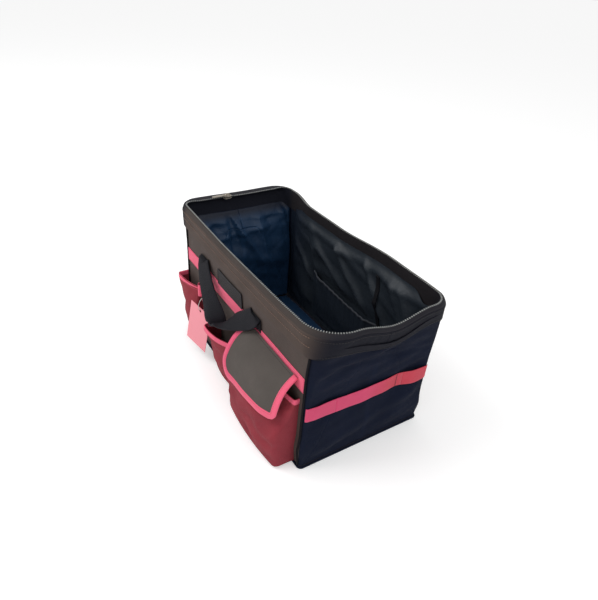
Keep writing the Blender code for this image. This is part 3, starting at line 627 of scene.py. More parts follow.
RIM_SHARES = steps(0, 1, 30) + steps(1, 2, 14)[1:] + steps(2, 3, 18)[1:]
RIM_MIDDLE = 0.1 * MM
END_SAG = {1: 13 * MM, -1: 1 * MM}
END_SAG_Y = 0.012
END_SAG_WIDTH = 0.070
CLOTH_DROP = 9 * MM
HEM_DROP = 11 * MM
HEM_TURN = (1.25, 1.95)
BAND_WAVE = 0.7 * MM
BAND_THICK = 1.1 * MM
INNER_BAND_THICK = 1.0 * MM
TAPE_THICK = 0.8 * MM
TAPE_EDGE = 1.6 * MM
TEETH_DEPTH = 4.6 * MM
SLIDER_DEPTH = 20.0 * MM
SLIDER_TURN = (1.2, 2.0)
TEETH_DROP = 0.9 * MM
TEETH_WIDE = 3.0 * MM
TOOTH_PITCH = 4.0 * MM
TOOTH_HALF_LONG = 1.05 * MM
TOOTH_HALF_HIGH = 1.2 * MM
WIRE_TIP_Y = 0.036
WIRE_RADIUS = 2.4 * MM
WIRE_DROP = 6.4 * MM
WIRE_DEPTH = 3.6 * MM
THREAD_LIFT = 0.4 * MM
# How the band's upper edge and the tape turn in over the rim: drop and lift in mm
BAND_ROLL = ((8.0, 1.5), (7.4, 0.9), (7.2, 0.0))
TAPE_ROLL = ((9.5, 0.8), (5.5, 0.5), (2.6, -0.9), (1.4, -2.6))
# Stitch rows of the band: height, first and last share, and thread
BAND_STITCHES = {
    "high": (RIM_Z - 11.5 * MM, 0.0, 1.3, "tan_thread"),
    "low": (HEM_Z - 5 * MM, 0.0, 1.3, "tan_thread"),
    "end": (RIM_Z - 11.5 * MM, 1.3, 3.0, "dark_thread"),
}


def end_sag(y, side, z):
    """How far the soft rim sags between the tips of the two wires."""
    return END_SAG[side] * bump_at(y, END_SAG_Y, END_SAG_WIDTH) * smooth_step(z, BAND_Z - 0.03, HEM_Z)


def rim_point(share, z, side, way, lift=0.0):
    """A place round a quarter of the rim."""
    half_x, half_y, radius = shell_sizes(z, side, way, lift)
    if share <= 1:
        return side_point(side * share * (half_x - radius), z, way, lift)
    if share <= 2:
        turn = (2 - share) * pi / 2
        x = half_x - radius + radius * cos(turn)
        y = half_y - radius + radius * sin(turn)
    else:
        x = half_x
        y = max((3 - share) * (half_y - radius), RIM_MIDDLE)
    return Vector((side * x, way * y, z - end_sag(way * y, side, z)))


def rim_normal(share, side, way):
    turn = (2 - min(2.0, max(1.0, share))) * pi / 2
    return Vector((side * cos(turn), way * sin(turn), 0))


def band_foot(share):
    """The band's lower edge rises towards the hem's on its way round the corner."""
    return mix(BAND_Z, HEM_Z - HEM_DROP, smooth_step(share, *HEM_TURN))


def band_painted_light(point):
    """Painted light: the band, inner band and zip tape take a warm lit brown along the walls, painted into
    their colour, and fall to their own near-black round the ends.
    """
    return smooth_step(abs(point.x), CORNER_X[side_of(point.x)] + 0.002, HALF_X + 0.014)


def teeth_depth(share, side):
    """How far in the row of teeth runs: deeper along the left end, where the slider rides."""
    return mix(TEETH_DEPTH, SLIDER_DEPTH, smooth_step(share, *SLIDER_TURN)) if side < 0 else TEETH_DEPTH


def mouth_quarter(face, way, end, side):
    """A quarter of the mouth: its band outside and inside, its tape and teeth, its wire and stitch rows."""
    name = f"{face}_{end}"

    def spot(share, z, lift):
        return rim_point(share, z, side, way, lift)

    def outer_row(share):
        wave = BAND_WAVE * ripple(0.03, share, way * 9, side) * smooth_step(share, 0, 0.1)
        row = [spot(share, z, BAND_LIFT + wave) for z in steps(band_foot(share), RIM_Z - CLOTH_DROP, 9)]
        return row + [spot(share, RIM_Z - drop * MM, lift * MM) for drop, lift in BAND_ROLL]

    def inner_row(share):
        heights = steps(band_foot(share) - 1 * MM, RIM_Z - 7 * MM, 6)
        edge = spot(share, RIM_Z - 2.6 * MM, -teeth_depth(share, side) - TAPE_EDGE)
        return [spot(share, z, -INNER_BAND) for z in heights] + [edge]

    def tape_row(share):
        depth = teeth_depth(share, side)
        row = [spot(share, RIM_Z - drop * MM, lift * MM) for drop, lift in TAPE_ROLL]
        row += [spot(share, RIM_Z - 1.0 * MM, mix(-2.6 * MM, -depth, part)) for part in (0.55, 1.0)]
        return row + [spot(share, RIM_Z - 1.3 * MM, -depth - TAPE_EDGE)]

    # Each sheet mixes its look's two colours by band_painted_light: painted warm light along the walls, the
    # cloth's own near-black round the ends.
    def sheet(part, row_at, look, thick, facing):
        return grid(f"{name}_{part}", [row_at(share) for share in RIM_SHARES], look, thick, Vector(facing),
                    tint=band_painted_light)

    bend_round(sheet("band", outer_row, "band_canvas", BAND_THICK, (0, way, 0)), face, side, "black_canvas",
               f"{face}_rim_{end}", f"{face}_rim_end_{end}", f"{face}_band")
    bend_round(sheet("inner_band", inner_row, "inner_band", INNER_BAND_THICK, (0, -way, 0)), face, side,
               "black_canvas")
    bend_round(sheet("tape", tape_row, "tape", TAPE_THICK, UPWARDS), face, side, "zip_tape",
               f"{face}_zip_tape")

    path = [spot(s, RIM_Z - TEETH_DROP, -teeth_depth(s, side) - TEETH_WIDE / 2) for s in RIM_SHARES]
    normals = [rim_normal(s, side, way) for s in RIM_SHARES]
    places = []
    up = Vector((0, 0, TOOTH_HALF_HIGH))
    for centre, along, normal in walk(path, normals, TOOTH_PITCH):
        places.append((centre, normal * TEETH_WIDE / 2, along * TOOTH_HALF_LONG, up))
    bend_round(row_of(f"{name}_teeth", places, "teeth"), face, side, "zip_tape")

    route = [s for s in RIM_SHARES if s <= 2 or abs(rim_point(s, RIM_Z, side, way).y) > WIRE_TIP_Y]
    path = [spot(s, RIM_Z - WIRE_DROP, -WIRE_DEPTH) for s in route]
    bend_round(round_tube(f"{name}_wire", path, WIRE_RADIUS, "steel"), face, side, "steel_wire",
               f"{face}_frame_wire")

    for label, (height, start, stop, look) in BAND_STITCHES.items():
        run = [s for s in RIM_SHARES if start <= s <= stop]
        path = [spot(s, height, BAND_LIFT + THREAD_LIFT) for s in run]
        normals = [rim_normal(s, side, way) for s in run]
        thread = stitches(f"{name}_band_stitches_{label}", path, normals, look)
        bend_round(thread, face, side, "black_canvas")


# The long walls

LINING_OVER_BAND = 3.4 * MM
PIPING_SHOWS = 0.85
PIPING_LIFT = 0.5


def wall_end(z, side, way):
    """How far out in x a long wall runs: to its piping, or to where the mouth's corner starts."""
    half_x, _, radius = shell_sizes(z, side, way)
    return max(PIPING_X, half_x - radius)


def lining_folds(x, z, way):
    """How far a wall's lining hangs inwards: it billows under the band, in slanted folds."""
    inside = smooth_step(PIPING_X - abs(x), 0.002, 0.05) * smooth_step(BAND_Z + 19 * MM - z, 0.0, 0.022)
    inside *= smooth_step(z, FLOOR_Z, 0.05)
    if way > 0:
        behind = smooth_step(x, INNER_X[0] - 0.02, INNER_X[0] + 0.01)
        behind *= 1 - smooth_step(x, INNER_X[1], INNER_X[1] + 0.02)
        inside *= 1 - 0.9 * behind * (1 - smooth_step(z, INNER_Z[1] - 0.005, INNER_Z[1] + 0.025))
    slant = x + 0.6 * (z - 0.1) * way
    ridge = 1 - abs(ripple((0.070, 1, 0.16), slant, way * 5.0, z)) * 3.4
    folds = 9.0 * MM * max(0.0, ridge) ** 1.3
    soft = 3.0 * MM * (1 + ripple((0.07, 1, 0.06), x, way * 9.0, z))
    cross = 6.0 * MM * max(0.0, ripple((0.10, 1, 0.026), x - 0.3 * z, way * 7.0, z + 0.35 * x) - 0.05)
    billow = 4.0 * MM * (1 - smooth_step(BAND_Z - z, 0.020, 0.110))
    return inside * (folds + soft + cross + billow)


def lining_point(x, z, way):
    """A place on a wall's lining. Its upper edge lies over the inner band."""
    over_band = LINING_OVER_BAND * smooth_step(z, BAND_Z - 12 * MM, BAND_Z + 6 * MM)
    over_band *= smooth_step(PIPING_X - abs(x), 0.004, 0.040)
    return side_point(x, z, way, -LINING_DEPTH - over_band - lining_folds(x, z, way))


def wall_pieces(face, way):
    """A long wall: canvas, lining, webbing with two stitch rows, and the piping at its ends."""
    wall = f"{face}_wall"
    facing = Vector((0, way, 0))
    rows = []
    for z in steps(FLOOR_Z, RIM_Z - CLOTH_DROP, 44):
        rows.append([side_point(x, z, way) for x in steps(-wall_end(z, -1, way), wall_end(z, 1, way), 90)])
    # The wall canvas shows its look's first colour, a painted warm-lit brown.
    settle(grid(f"{face}_canvas", rows, "canvas_with_painted_light", CANVAS, facing), wall, "black_canvas", wall)

    rows = []
    for share in steps(0, 1, 66):
        row = []
        for across in steps(-1, 1, 130):
            top = BAND_Z + 7 * MM + 13 * MM * smooth_step(1 - abs(across), 0.08, 0.25)
            z = mix(FLOOR_Z + 2 * MM, top, share)
            row.append(lining_point(across * (wall_end(z, side_of(across), way) - 3 * MM), z, way))
        rows.append(row)
    lining = grid(f"{face}_inside", rows, "black_satin", LINING, -facing,
                  tint=lambda p: smooth_step(-p.x, 0.12, 0.22))
    settle(lining, wall, "black_satin", f"{face}_lining")

    xs = steps(PIPING_R - PIPING_X, PIPING_X - PIPING_R, 70)
    foot, top = STRIP_Z
    first, second = ([side_point(x, z, way, STRIP_LIFT) for x in xs] for z in STRIP_Z)
    normals = [facing] * len(xs)
    strip = ribbon(f"{face}_webbing", first, second, normals, WEBBING, "pink")
    settle(strip, wall, "pink_webbing", f"{face}_strip")
    for label, z in (("low", foot + 2 * MM), ("high", top - 2 * MM)):
        path = [side_point(x, z, way, STRIP_LIFT + WEBBING / 2) for x in xs]
        thread = stitches(f"{face}_webbing_stitches_{label}", path, normals, "pink_thread")
        settle(thread, wall, "pink_webbing")

    for end, side in ENDS:
        zs = steps(FLOOR_Z + PIPING_R, BAND_Z - 1 * MM, 24)
        route = [side_point(side * PIPING_X, z, way, PIPING_R * PIPING_LIFT) for z in zs]
        piping = round_tube(f"{face}_{end}_piping", route, PIPING_R * PIPING_SHOWS, "black")
        settle(piping, wall, "black_trim", f"{face}_piping_{end}")


# The ends: a fixed gable, loose corners, and a lining of the same parts

CUT_GAP = 0.3 * MM
END_DIP = 13 * MM
TUCK = 2.2 * MM
END_BAND_RISE = 7 * MM
END_BAND_THICK = 1.0 * MM
TACKS = (-0.056, 0.056)
WEBBING_SLACK = 2.2 * MM
WEBBING_DROOP = 5 * MM


def surface_normal(place, spot, facing):
    """The normal of an end's surface at a spot, so that its cut parts look like one cloth."""
    step = 1 * MM
    along = place(spot.y + step, spot.z) - place(spot.y - step, spot.z)
    up = place(spot.y, spot.z + step) - place(spot.y, spot.z - step)
    normal = along.cross(up).normalized()
    return normal if normal.dot(facing) > 0 else -normal


def end_dip(y, z):
    """How far an end's upper edge dips behind the hem, so that it stays under the closed mouth."""
    return END_DIP * (1 - smooth_step(abs(y), 0.03, 0.13)) * smooth_step(z, BAND_Z - 0.02, HEM_Z)


def keep_part(mesh_edit, kept):
    """Cuts an end's sheet where the closed walls lie, and keeps its gable (0), front (-1) or rear (1)."""
    cuts = []
    for way in (-1, 1):
        cuts.append(((0, way * (FOLD_Y + CUT_GAP), FLOOR_Z), (0, way * cos(FOLD_ANGLE), sin(FOLD_ANGLE))))
    cuts += [((0, 0, GABLE_Z), (0, 0, 1)), ((0, 0, 0), (0, 1, 0))]
    for place, normal in cuts:
        geometry = mesh_edit.verts[:] + mesh_edit.edges[:] + mesh_edit.faces[:]
        bmesh.ops.bisect_plane(mesh_edit, geom=geometry, plane_co=place, plane_no=normal)
    gone = []
    for face in mesh_edit.faces:
        centre = face.calc_center_median()
        line = FOLD_Y - (centre.z - FLOOR_Z) * tan(FOLD_ANGLE)
        fixed = centre.z < GABLE_Z and abs(centre.y) < line
        here = 0 if fixed else (-1 if centre.y < 0 else 1)
        if here != kept:
            gone.append(face)
    bmesh.ops.delete(mesh_edit, geom=gone, context="FACES")


def split_end(name, place, reach, top, look, thick, facing, tint):
    """A sheet over an end in three parts: the fixed gable, then the loose front and rear."""
    rows = []
    for z in steps(FLOOR_Z + 0.5 * MM, top, 60):
        ys = [mix(-reach(z, -1), reach(z, 1), share) for share in steps(0, 1, 72)]
        rows.append([place(y, z - end_dip(y, z)) for y in ys])
    whole = grid(name, rows, look, facing=facing, tint=tint)
    parts = []
    for label, kept in (("gable", 0), ("front", -1), ("rear", 1)):
        mesh = whole.data.copy()
        mesh.name = f"{name}_{label}"
        edit(mesh, keep_part, kept)
        item = add_object(f"{name}_{label}", mesh)
        normals = [surface_normal(place, vertex.co, facing) for vertex in mesh.vertices]
        mesh.normals_split_custom_set_from_vertices(normals)
        thicken(item, thick)
        parts.append(item)
    PIECES.remove(whole)
    bpy.data.objects.remove(whole)
    return parts


def end_folds(y, z, side):
    """How far an end's lining hangs inwards: broad satin folds, fixed at its seams."""
    edge = smooth_step(HALF_Y - abs(y), 0.004, 0.035) * smooth_step(z, FLOOR_Z, 0.04)
    edge *= smooth_step(BAND_Z - z, -0.004, 0.014)
    billow = 6.0 * MM * (1 - smooth_step(BAND_Z - z, 0.016, 0.120))
    ridge = 1 - abs(ripple((1, 0.060, 0.22), side * 3.0, y + 0.35 * z, z)) * 3.0
    broad = 8.0 * MM * max(0.0, ridge) ** 1.5
    slant = 5.0 * MM * max(0.0, ripple((1, 0.055, 0.032), side * 7.0, y, z - 0.8 * abs(y)))
    tuck = 9.0 * MM * bump_at(y + 0.020 + 0.12 * (z - 0.2), 0.0, 0.016) * smooth_step(z, 0.10, 0.17)
    return 1.0 * MM + edge * max(0.0, billow + broad + slant - tuck)


def end_pieces(end, side):
    """An end: canvas and lining in three parts each, the band under the hem, and the webbing."""
    facing = Vector((side, 0, 0))

    def outside(y, z):
        return end_point(y, z, side)

    def inside(y, z):
        tuck = TUCK * smooth_step(z, HEM_Z - 17 * MM, HEM_Z - 11 * MM)
        return end_point(y, z, side, tuck - LINING_DEPTH) - Vector((side * end_folds(y, z, side), 0, 0))

    gable, *loose = split_end(f"{end}_end", outside, lambda z, way: end_reach(z, side, way), HEM_Z + 4 * MM,
                              "navy_canvas", CANVAS, facing, lambda p: smooth_step(p.z, 0.17, 0.26) * 0.6)
    settle(gable, "base", "navy_canvas", f"end_panel_{end}")
    for part, (face, way) in zip(loose, FACES):
        fold_flat(part, way, "navy_canvas", f"end_corner_{end}_{face}")

    gable, *loose = split_end(f"{end}_end_inside", inside,
                              lambda z, way: end_reach(z, side, way, -LINING_DEPTH) - 1 * MM, HEM_Z + 2 * MM,
                              "navy_satin", LINING, -facing, lambda p: smooth_step(p.z, 0.215, 0.232))
    settle(gable, "base", "navy_satin", f"end_lining_{end}")
    for part, (face, way) in zip(loose, FACES):
        fold_flat(part, way, "navy_satin")

    for face, way in FACES:
        rows = []
        for part in steps(0, 1, 6):
            out = end_reach(mix(BAND_Z, HEM_Z, part), side, way, BAND_LIFT)
            row = []
            for share in steps(RIM_MIDDLE / HALF_Y, 1.0, 30):
                y = way * share * out
                foot = BAND_Z + END_BAND_RISE * (1 - smooth_step(share, 0.75, 1.0))
                z = mix(foot, HEM_Z + 3 * MM, part)
                place = end_point(y, z, side, BAND_LIFT - 0.4 * MM)
                place.z -= end_sag(y, side, z) + end_dip(y, z)
                row.append(place)
            rows.append(row)
        fold_flat(grid(f"{end}_{face}_end_band", rows, "band_canvas", END_BAND_THICK, facing, tint=1.0), way,
                  "black_canvas")
        path = [place + Vector((side * THREAD_LIFT, 0, 0)) for place in rows[1]]
        thread = stitches(f"{end}_{face}_end_band_stitches", path, [facing] * len(path), "dark_thread")
        fold_flat(thread, way, "black_canvas")
    end_webbing(end, side)


def webbing_lift(y):
    """The end webbing stands off the panel between its tacks."""
    bounds = (-HALF_Y, *TACKS, HALF_Y)
    for first, last in zip(bounds, bounds[1:]):
        if y <= last:
            return WEBBING_SLACK * sin(pi * (y - first) / (last - first)) ** 2
    return 0.0


def webbing_z(y):
    """The webbing droops a little towards the rear of the bag."""
    return -WEBBING_DROOP * smooth_step(y, -HALF_Y, HALF_Y) + 1.5 * MM * sin(2 * pi * y / 0.16)


def end_webbing(end, side):
    """The webbing across an end, in a fixed middle run and two loose ones, with its tacks."""
    facing = Vector((side, 0, 0))
    middle = (END_STRIP_Z[0] + END_STRIP_Z[1]) / 2
    half = (END_STRIP_Z[1] - END_STRIP_Z[0]) / 2
    inner_y = FOLD_Y - (middle - FLOOR_Z) * tan(FOLD_ANGLE)
    runs = (("front", -1, -HALF_Y + 1 * MM, -inner_y), ("middle", 0, -inner_y, inner_y),
            ("rear", 1, inner_y, HALF_Y - 1 * MM))
    for label, way, start, stop in runs:
        edges = ([], [])
        ys = steps(start, stop, 24)
        for y in ys:
            z = middle + webbing_z(y)
            lift = WEBBING * 0.9 + webbing_lift(y)
            heights = (z - half, z + half)
            reaches = [abs(end_point(y, height, side).x) for height in heights]
            for edge, height, reach in zip(edges, heights, reaches):
                edge.append(Vector((side * mix(reach + lift, max(reaches) + lift, 0.6), y, height)))
        piece = ribbon(f"{end}_webbing_{label}", *edges, [facing] * len(ys), WEBBING, "end_pink",
                       tint=lambda p: smooth_step(p.y, -0.02, 0.06))
        if way:
            fold_flat(piece, way, "pink_webbing", f"end_strip_{end}")
        else:
            settle(piece, "base", "pink_webbing", f"end_strip_{end}")
    for i, y in enumerate(TACKS):
        z = middle + webbing_z(y)
        out = abs(end_point(y, z, side).x) + WEBBING * 1.75
        path = [Vector((side * out, y, height)) for height in steps(z - half, z + half, 4)]
        thread = stitches(f"{end}_webbing_tack_{i + 1}", path, [facing] * len(path), "dark_thread", pitch=2.4,
                          length=2.0, width=0.5)
        settle(thread, "base", "pink_webbing")


# Base

BASE_CORNER = 6 * MM
BOARD_PUFF = 3.4 * MM
UNDERSIDE_DISH = 0.9 * MM


def base_ring(lift, z):
    """A line round the base, with rounded corners."""
    points = []
    for turn, (sx, sy) in enumerate(((1, 1), (-1, 1), (-1, -1), (1, -1))):
        centre = Vector((sx * (HALF_X - BASE_CORNER), sy * (HALF_Y - BASE_CORNER), z))
        for angle in steps(turn * pi / 2, (turn + 1) * pi / 2, 8):
            points.append(centre + Vector((cos(angle), sin(angle), 0)) * (BASE_CORNER + lift))
    return points


def underside_place(u, v):
    """A place on the underside, dished a little so that the rim stands on the floor."""
    dish = UNDERSIDE_DISH * smooth_step(1 - max(abs(u), abs(v)), 0, 0.2)
    return Vector((u * (HALF_X - 1 * MM), v * (HALF_Y - 1 * MM), 0.2 * MM + dish))


def board_place(u, v):
    """A place on the covered board inside, puffed up between its edges, with blunt corners."""
    edge = smooth_step(1 - max(abs(u), abs(v)), 0, 0.09)
    puff = BOARD_PUFF * sqrt(edge) + 0.9 * MM * edge * ripple((0.2, 0.22, 1), u, v, 3.0)
    corner = 1 - 0.018 * (abs(u) * abs(v)) ** 6
    return Vector((u * BOARD_X * corner, v * BOARD_Y * corner, BOARD_Z + 0.8 * MM + puff))


def base_pieces():
    rows = [[board_place(u, v) for u in steps(-1, 1, 60)] for v in steps(-1, 1, 36)]
    cover = grid("base_board_cover", rows, "navy_satin", 0.8 * MM, UPWARDS)
    settle(cover, "base", "navy_satin", "base_board")

    thick = high("base_panel").z
    profile = ((-6 * MM, thick), (-0.8 * MM, thick), (0.0, thick - 1 * MM), (0.0, 1.2 * MM),
               (-1.5 * MM, 0.2 * MM))
    rows = [base_ring(lift, z) for lift, z in profile]
    skirt = grid("base_skirt", rows, "canvas_with_painted_light", closed=True, tint=1.0)
    settle(skirt, "base", "black_canvas", "base_panel")
    rows = [[underside_place(u, v) for u in steps(-1, 1, 40)] for v in steps(-1, 1, 24)]
    settle(grid("base_underside", rows, "canvas_with_painted_light", CANVAS, -UPWARDS, tint=1.0), "base", "black_canvas")

    radius = high("base_piping").z / 2
    route = base_ring(radius * PIPING_LIFT, radius)
    piping = round_tube("base_trim", route, radius * PIPING_SHOWS, "navy_canvas", closed=True)
    settle(piping, "base", "black_trim", "base_piping")


# Outside pockets. Depths are at the foot, belly and mouth. Gape widens or narrows the two ends of the mouth,
# lean takes its left end outwards, and rise lifts its ends. Narrower and lower trim the CAD solid's right end
# and foot.

SKIN = 0.2 * MM
SEAM_TUCK = 0.6 * MM
POCKET_HEM = ((0.04, 0.4), (0.5, 0.0), (0.90, 0.1), (0.975, 1.2))
POCKET_CLOTH = 1.3 * MM
BINDING_HIGH = 10 * MM
BINDING_THICK = 2.8 * MM
POCKETS = {
    "flap_pocket": {
        "depths": (0.039, 0.041, 0.014), "belly": 0.55, "bow": 5 * MM, "sag": 0.0, "crumples": 6.5 * MM,
        "seed": 2.0, "tint": lambda p: 0.25 * (1 + ripple((0.05, 1, 0.03), p.x + p.y, 1.0, p.z)),
        "gape": (1.0, 0.65), "lean": 0.0, "rise": (0.0, 4 * MM), "narrower": 2 * MM, "lower": 4 * MM,
    },
    "middle_pocket": {
        "depths": (0.014, 0.022, 0.028), "belly": 0.45, "bow": 6 * MM, "sag": 2 * MM, "crumples": 3.0 * MM,
        "seed": 6.0, "tint": 0.3,
        "gape": (1.30, 0.85), "lean": 0.0, "rise": (-15 * MM, 8 * MM), "narrower": 8 * MM, "lower": 0.0,
    },
    "left_pocket": {
        "depths": (0.010, 0.016, 0.021), "belly": 0.45, "bow": 3 * MM, "sag": 2 * MM, "crumples": 2.0 * MM,
        "seed": 9.0, "tint": 0.2,
        "gape": (1.1, 0.35), "lean": 7 * MM, "rise": (2 * MM, 0.0), "narrower": 0.0, "lower": 0.0,
    },
}


def pocket_row(ends, depths, z, corner, bow):
    """Plan of a pocket's cloth at one height, from the wall round its front to the wall."""
    left, right = ends
    corner = min(corner, 0.48 * min(depths))
    skin_left, skin_right = (side_point(x, max(z, FLOOR_Z), -1, SKIN).y for x in ends)
    front_left = skin_left - depths[0]
    front_right = skin_right - depths[1]
    row = [Vector((left, y, z)) for y in steps(skin_left + SEAM_TUCK, front_left + corner, 6)]
    for turn in steps(0, pi / 2, 6)[1:]:
        row.append(Vector((left + corner - corner * cos(turn), front_left + corner - corner * sin(turn), z)))
    run = right - left - 2 * corner
    for share in steps(0, 1, 34)[1:-1]:
        y = mix(front_left, front_right, share) - bow * sin(pi * share) ** 0.8
        row.append(Vector((left + corner + run * share, y, z)))
    for turn in steps(pi / 2, 0, 6)[:-1]:
        x = right - corner + corner * cos(turn)
        row.append(Vector((x, front_right + corner - corner * sin(turn), z)))
    return row + [Vector((right, y, z)) for y in steps(front_right + corner, skin_right + SEAM_TUCK, 6)]


def pocket_depth(share, depths, belly):
    """Depth of a pocket at a share of its height: from foot to belly to mouth."""
    if share < belly:
        return mix(depths[0], depths[1], smooth_step(share, 0, belly))
    return mix(depths[1], depths[2], smooth_step(share, belly, 1))


def crumple(row, height, share, seed):
    """Pushes a pocket row in and out in soft folds, less near its edges."""
    made = []
    for i, place in enumerate(row):
        edge = smooth_step(min(i, len(row) - 1 - i), 0, 7) * smooth_step(share, 0, 0.12)
        edge *= smooth_step(1 - share, 0, 0.2)
        fold = ripple((0.06, 1, 0.022), place.x + 0.9 * place.z, seed, place.z - 0.3 * place.x)
        soft = ripple((0.05, 1, 0.05), place.x, seed + 5, place.z)
        made.append(place + Vector((0, -height * edge * (fold + 0.6 * soft), 0)))
    return made


def pocket_piece(name, depths, belly, bow, sag, crumples, seed, tint, gape, lean, rise, narrower, lower):
    """An open pocket with a folded binding round its mouth."""
    left, right = span(name, "x")
    right -= narrower
    foot, top = span(name, "z")
    foot -= lower
    rows = []
    for part, up in POCKET_HEM:
        rows.append(pocket_row((left, right), (depths[0] * part,) * 2, foot + up * MM, 8 * MM, bow * part))
    for share in steps(0.02, 1, 40):
        depth = pocket_depth(share, depths, belly)
        open_part = smooth_step(share, belly, 1)
        both = [depth * mix(1.0, part, open_part) for part in gape]
        plan = pocket_row((left - lean * open_part, right), both, mix(foot, top, share), 9 * MM, bow)
        dip = sag * smooth_step(share, 0.4, 1)
        last = len(plan) - 1
        row = []
        for i, spot in enumerate(crumple(plan, crumples, share, seed)):
            up = mix(*rise, i / last)
            row.append(spot + Vector((0, 0, open_part * up - dip * sin(pi * i / last) ** 2)))
        rows.append(row)
    shell = grid(f"{name}_cloth", rows, "burgundy", POCKET_CLOTH, FRONTWARDS, tint=tint)
    settle(shell, "front_wall", "burgundy_fabric", name)
    lip = rows[-1]
    normals = []
    for before, after in zip(lip[:1] + lip, lip[1:] + lip[-1:]):
        along = after - before
        normals.append(Vector((along.y, -along.x, 0)).normalized())
    below = [place - Vector((0, 0, BINDING_HIGH)) for place in lip]
    edge = ribbon(f"{name}_edge", lip, below, normals, BINDING_THICK, "pink",
                  lambda p: 0.3 * ripple(0.03, *p))
    settle(edge, "front_wall", "pink_webbing", f"{name}_binding")
    path = [b.lerp(a, 0.18) + n * BINDING_THICK / 2 for a, b, n in zip(lip, below, normals)]
    settle(stitches(f"{name}_edge_stitches", path, normals, "pink_thread"), "front_wall", "pink_webbing")


LOOP_COUNT = 3
LOOP_GAP = 1.2 * MM


def pen_loop_pieces():
    """Small webbing loops side by side, with wavy edges."""
    foot, top = span("pen_loops", "z")
    left, right = span("pen_loops", "x")
    depth = -HALF_Y - low("pen_loops").y
    pitch = (right - left + LOOP_GAP) / LOOP_COUNT
    width = pitch - LOOP_GAP
    first = []
    second = []
    normals = []
    for n in range(LOOP_COUNT):
        middle = left + pitch * n + width / 2
        for turn in steps(pi, 2 * pi, 12):
            out = Vector((cos(turn), sin(turn), 0))
            x = middle + out.x * (width / 2 - WEBBING / 2)
            y = -HALF_Y - 0.9 * MM + out.y * (depth - 1.7 * MM)
            wobble = 0.8 * MM * sin(5 * turn + n)
            first.append(Vector((x, y, foot + wobble)))
            second.append(Vector((x, y, top + wobble)))
            normals.append(out)
    loops = ribbon("pen_loop_webbing", first, second, normals, WEBBING, "pink")
    settle(loops, "front_wall", "pink_webbing", "pen_loops")


# Pocket flap: a stiff cloth that arches out from its seam and hangs over the pocket

FLAP_LENGTH = 0.098
FLAP_THICK = 2.6 * MM
FLAP_EDGE = 9.5 * MM
FLAP_REACH = 43 * MM
FLAP_FALL = 84 * MM
FLAP_ARCH = 1.9
FLAP_LEFT = 0.043
FLAP_RIGHT = 0.205
FLAP_SEAM_X = (0.064, 0.206)
FLAP_SHOULDER_Y = 0.048
FLAP_BEND = (0.042, 0.010)
FLAP_FOOT_LEFT = FLAP_LENGTH + 5 * MM
FLAP_FOOT_RIGHT = FLAP_LENGTH - 7 * MM
FLAP_RADIUS_LEFT = 0.028
FLAP_RADIUS_RIGHT = 0.012
FLAP_STITCHED_X = (0.078, 0.204)


def flap_outline(inset):
    """The flap's edge, from its seam down the left side, along the foot and up the right.

    Across the bag, and down the cloth from the seam.
    """
    left_r = FLAP_RADIUS_LEFT - inset
    right_r = max(FLAP_RADIUS_RIGHT - inset, 1.5 * MM)
    corner_left = Vector((FLAP_LEFT + inset, FLAP_FOOT_LEFT - inset))
    corner_right = Vector((FLAP_RIGHT - inset, FLAP_FOOT_RIGHT - inset))
    start = Vector((FLAP_SEAM_X[0] + inset, 0.0))
    bend = Vector((FLAP_BEND[0] + inset, FLAP_BEND[1]))
    shoulder = Vector((FLAP_LEFT + inset, FLAP_SHOULDER_Y))
    points = []
    for share in steps(0, 1, 10):
        rest = 1 - share
        points.append(start * rest ** 2 + bend * 2 * rest * share + shoulder * share ** 2)
    for depth in steps(shoulder.y, corner_left.y - left_r, 4)[1:]:
        points.append(Vector((corner_left.x, depth)))
    centre = corner_left + Vector((left_r, -left_r))
    for turn in steps(pi, pi / 2, 9)[1:]:
        points.append(centre + left_r * Vector((cos(turn), sin(turn))))
    foot = centre + Vector((0, left_r))
    foot_end = corner_right - (corner_right - corner_left).normalized() * right_r
    points += [foot.lerp(foot_end, share) for share in steps(0, 1, 14)[1:]]
    centre = Vector((corner_right.x - right_r, corner_right.y - right_r))
    for turn in steps(pi / 2, 0, 8)[1:]:
        points.append(centre + right_r * Vector((cos(turn), sin(turn))))
    last = Vector((corner_right.x, corner_right.y - right_r))
    finish = Vector((FLAP_SEAM_X[1] - inset, 0.0))
    return points + [last.lerp(finish, share) for share in steps(0, 1, 10)[1:]]


def flap_point(across, down, lift=0.0):
    """A place on the flap and its normal.

    The flap leaves the wall at its seam, arches over and hangs nearly upright.
    """
    share = down / FLAP_LENGTH
    near_left = 1 - smooth_step(across, 0.045, 0.100)
    near_right = smooth_step(across, 0.165, 0.212)
    hug = 1 - 0.20 * near_right - near_left * (0.25 - 0.35 * share)
    out = FLAP_REACH * hug * (1 - (1 - min(share, 1.0)) ** FLAP_ARCH)
    drop = FLAP_FALL * (0.55 * share + 0.45 * share ** 2)
    crown = 3.5 * MM * sin(pi * min(1, max(0, (across - 0.05) / 0.155))) * smooth_step(share, 0, 0.5)
    wave = 2.0 * MM * ripple((0.06, 0.06, 1), across, down, 4.0) * smooth_step(share, 0, 0.4)
    slope_out = FLAP_REACH * FLAP_ARCH * (1 - min(share, 0.999)) ** 0.9
    slope_drop = FLAP_FALL * (0.55 + 0.9 * share)
    turn_in = 0.5 * near_right * smooth_step(share, 0, 0.4)
    normal = Vector((turn_in * slope_drop, -slope_drop, slope_out)).normalized()
    base = Vector((across, -FLAP_SEAM_Y - out - crown - wave, FLAP_Z - drop))
    return base + normal * lift, normal


def across_at(line, depth):
    """How far across a side of the flap's outline lies at a depth."""
    for a, b in zip(line, line[1:]):
        if a.y <= depth <= b.y and b.y > a.y:
            return mix(a.x, b.x, (depth - a.y) / (b.y - a.y))
    return line[-1].x


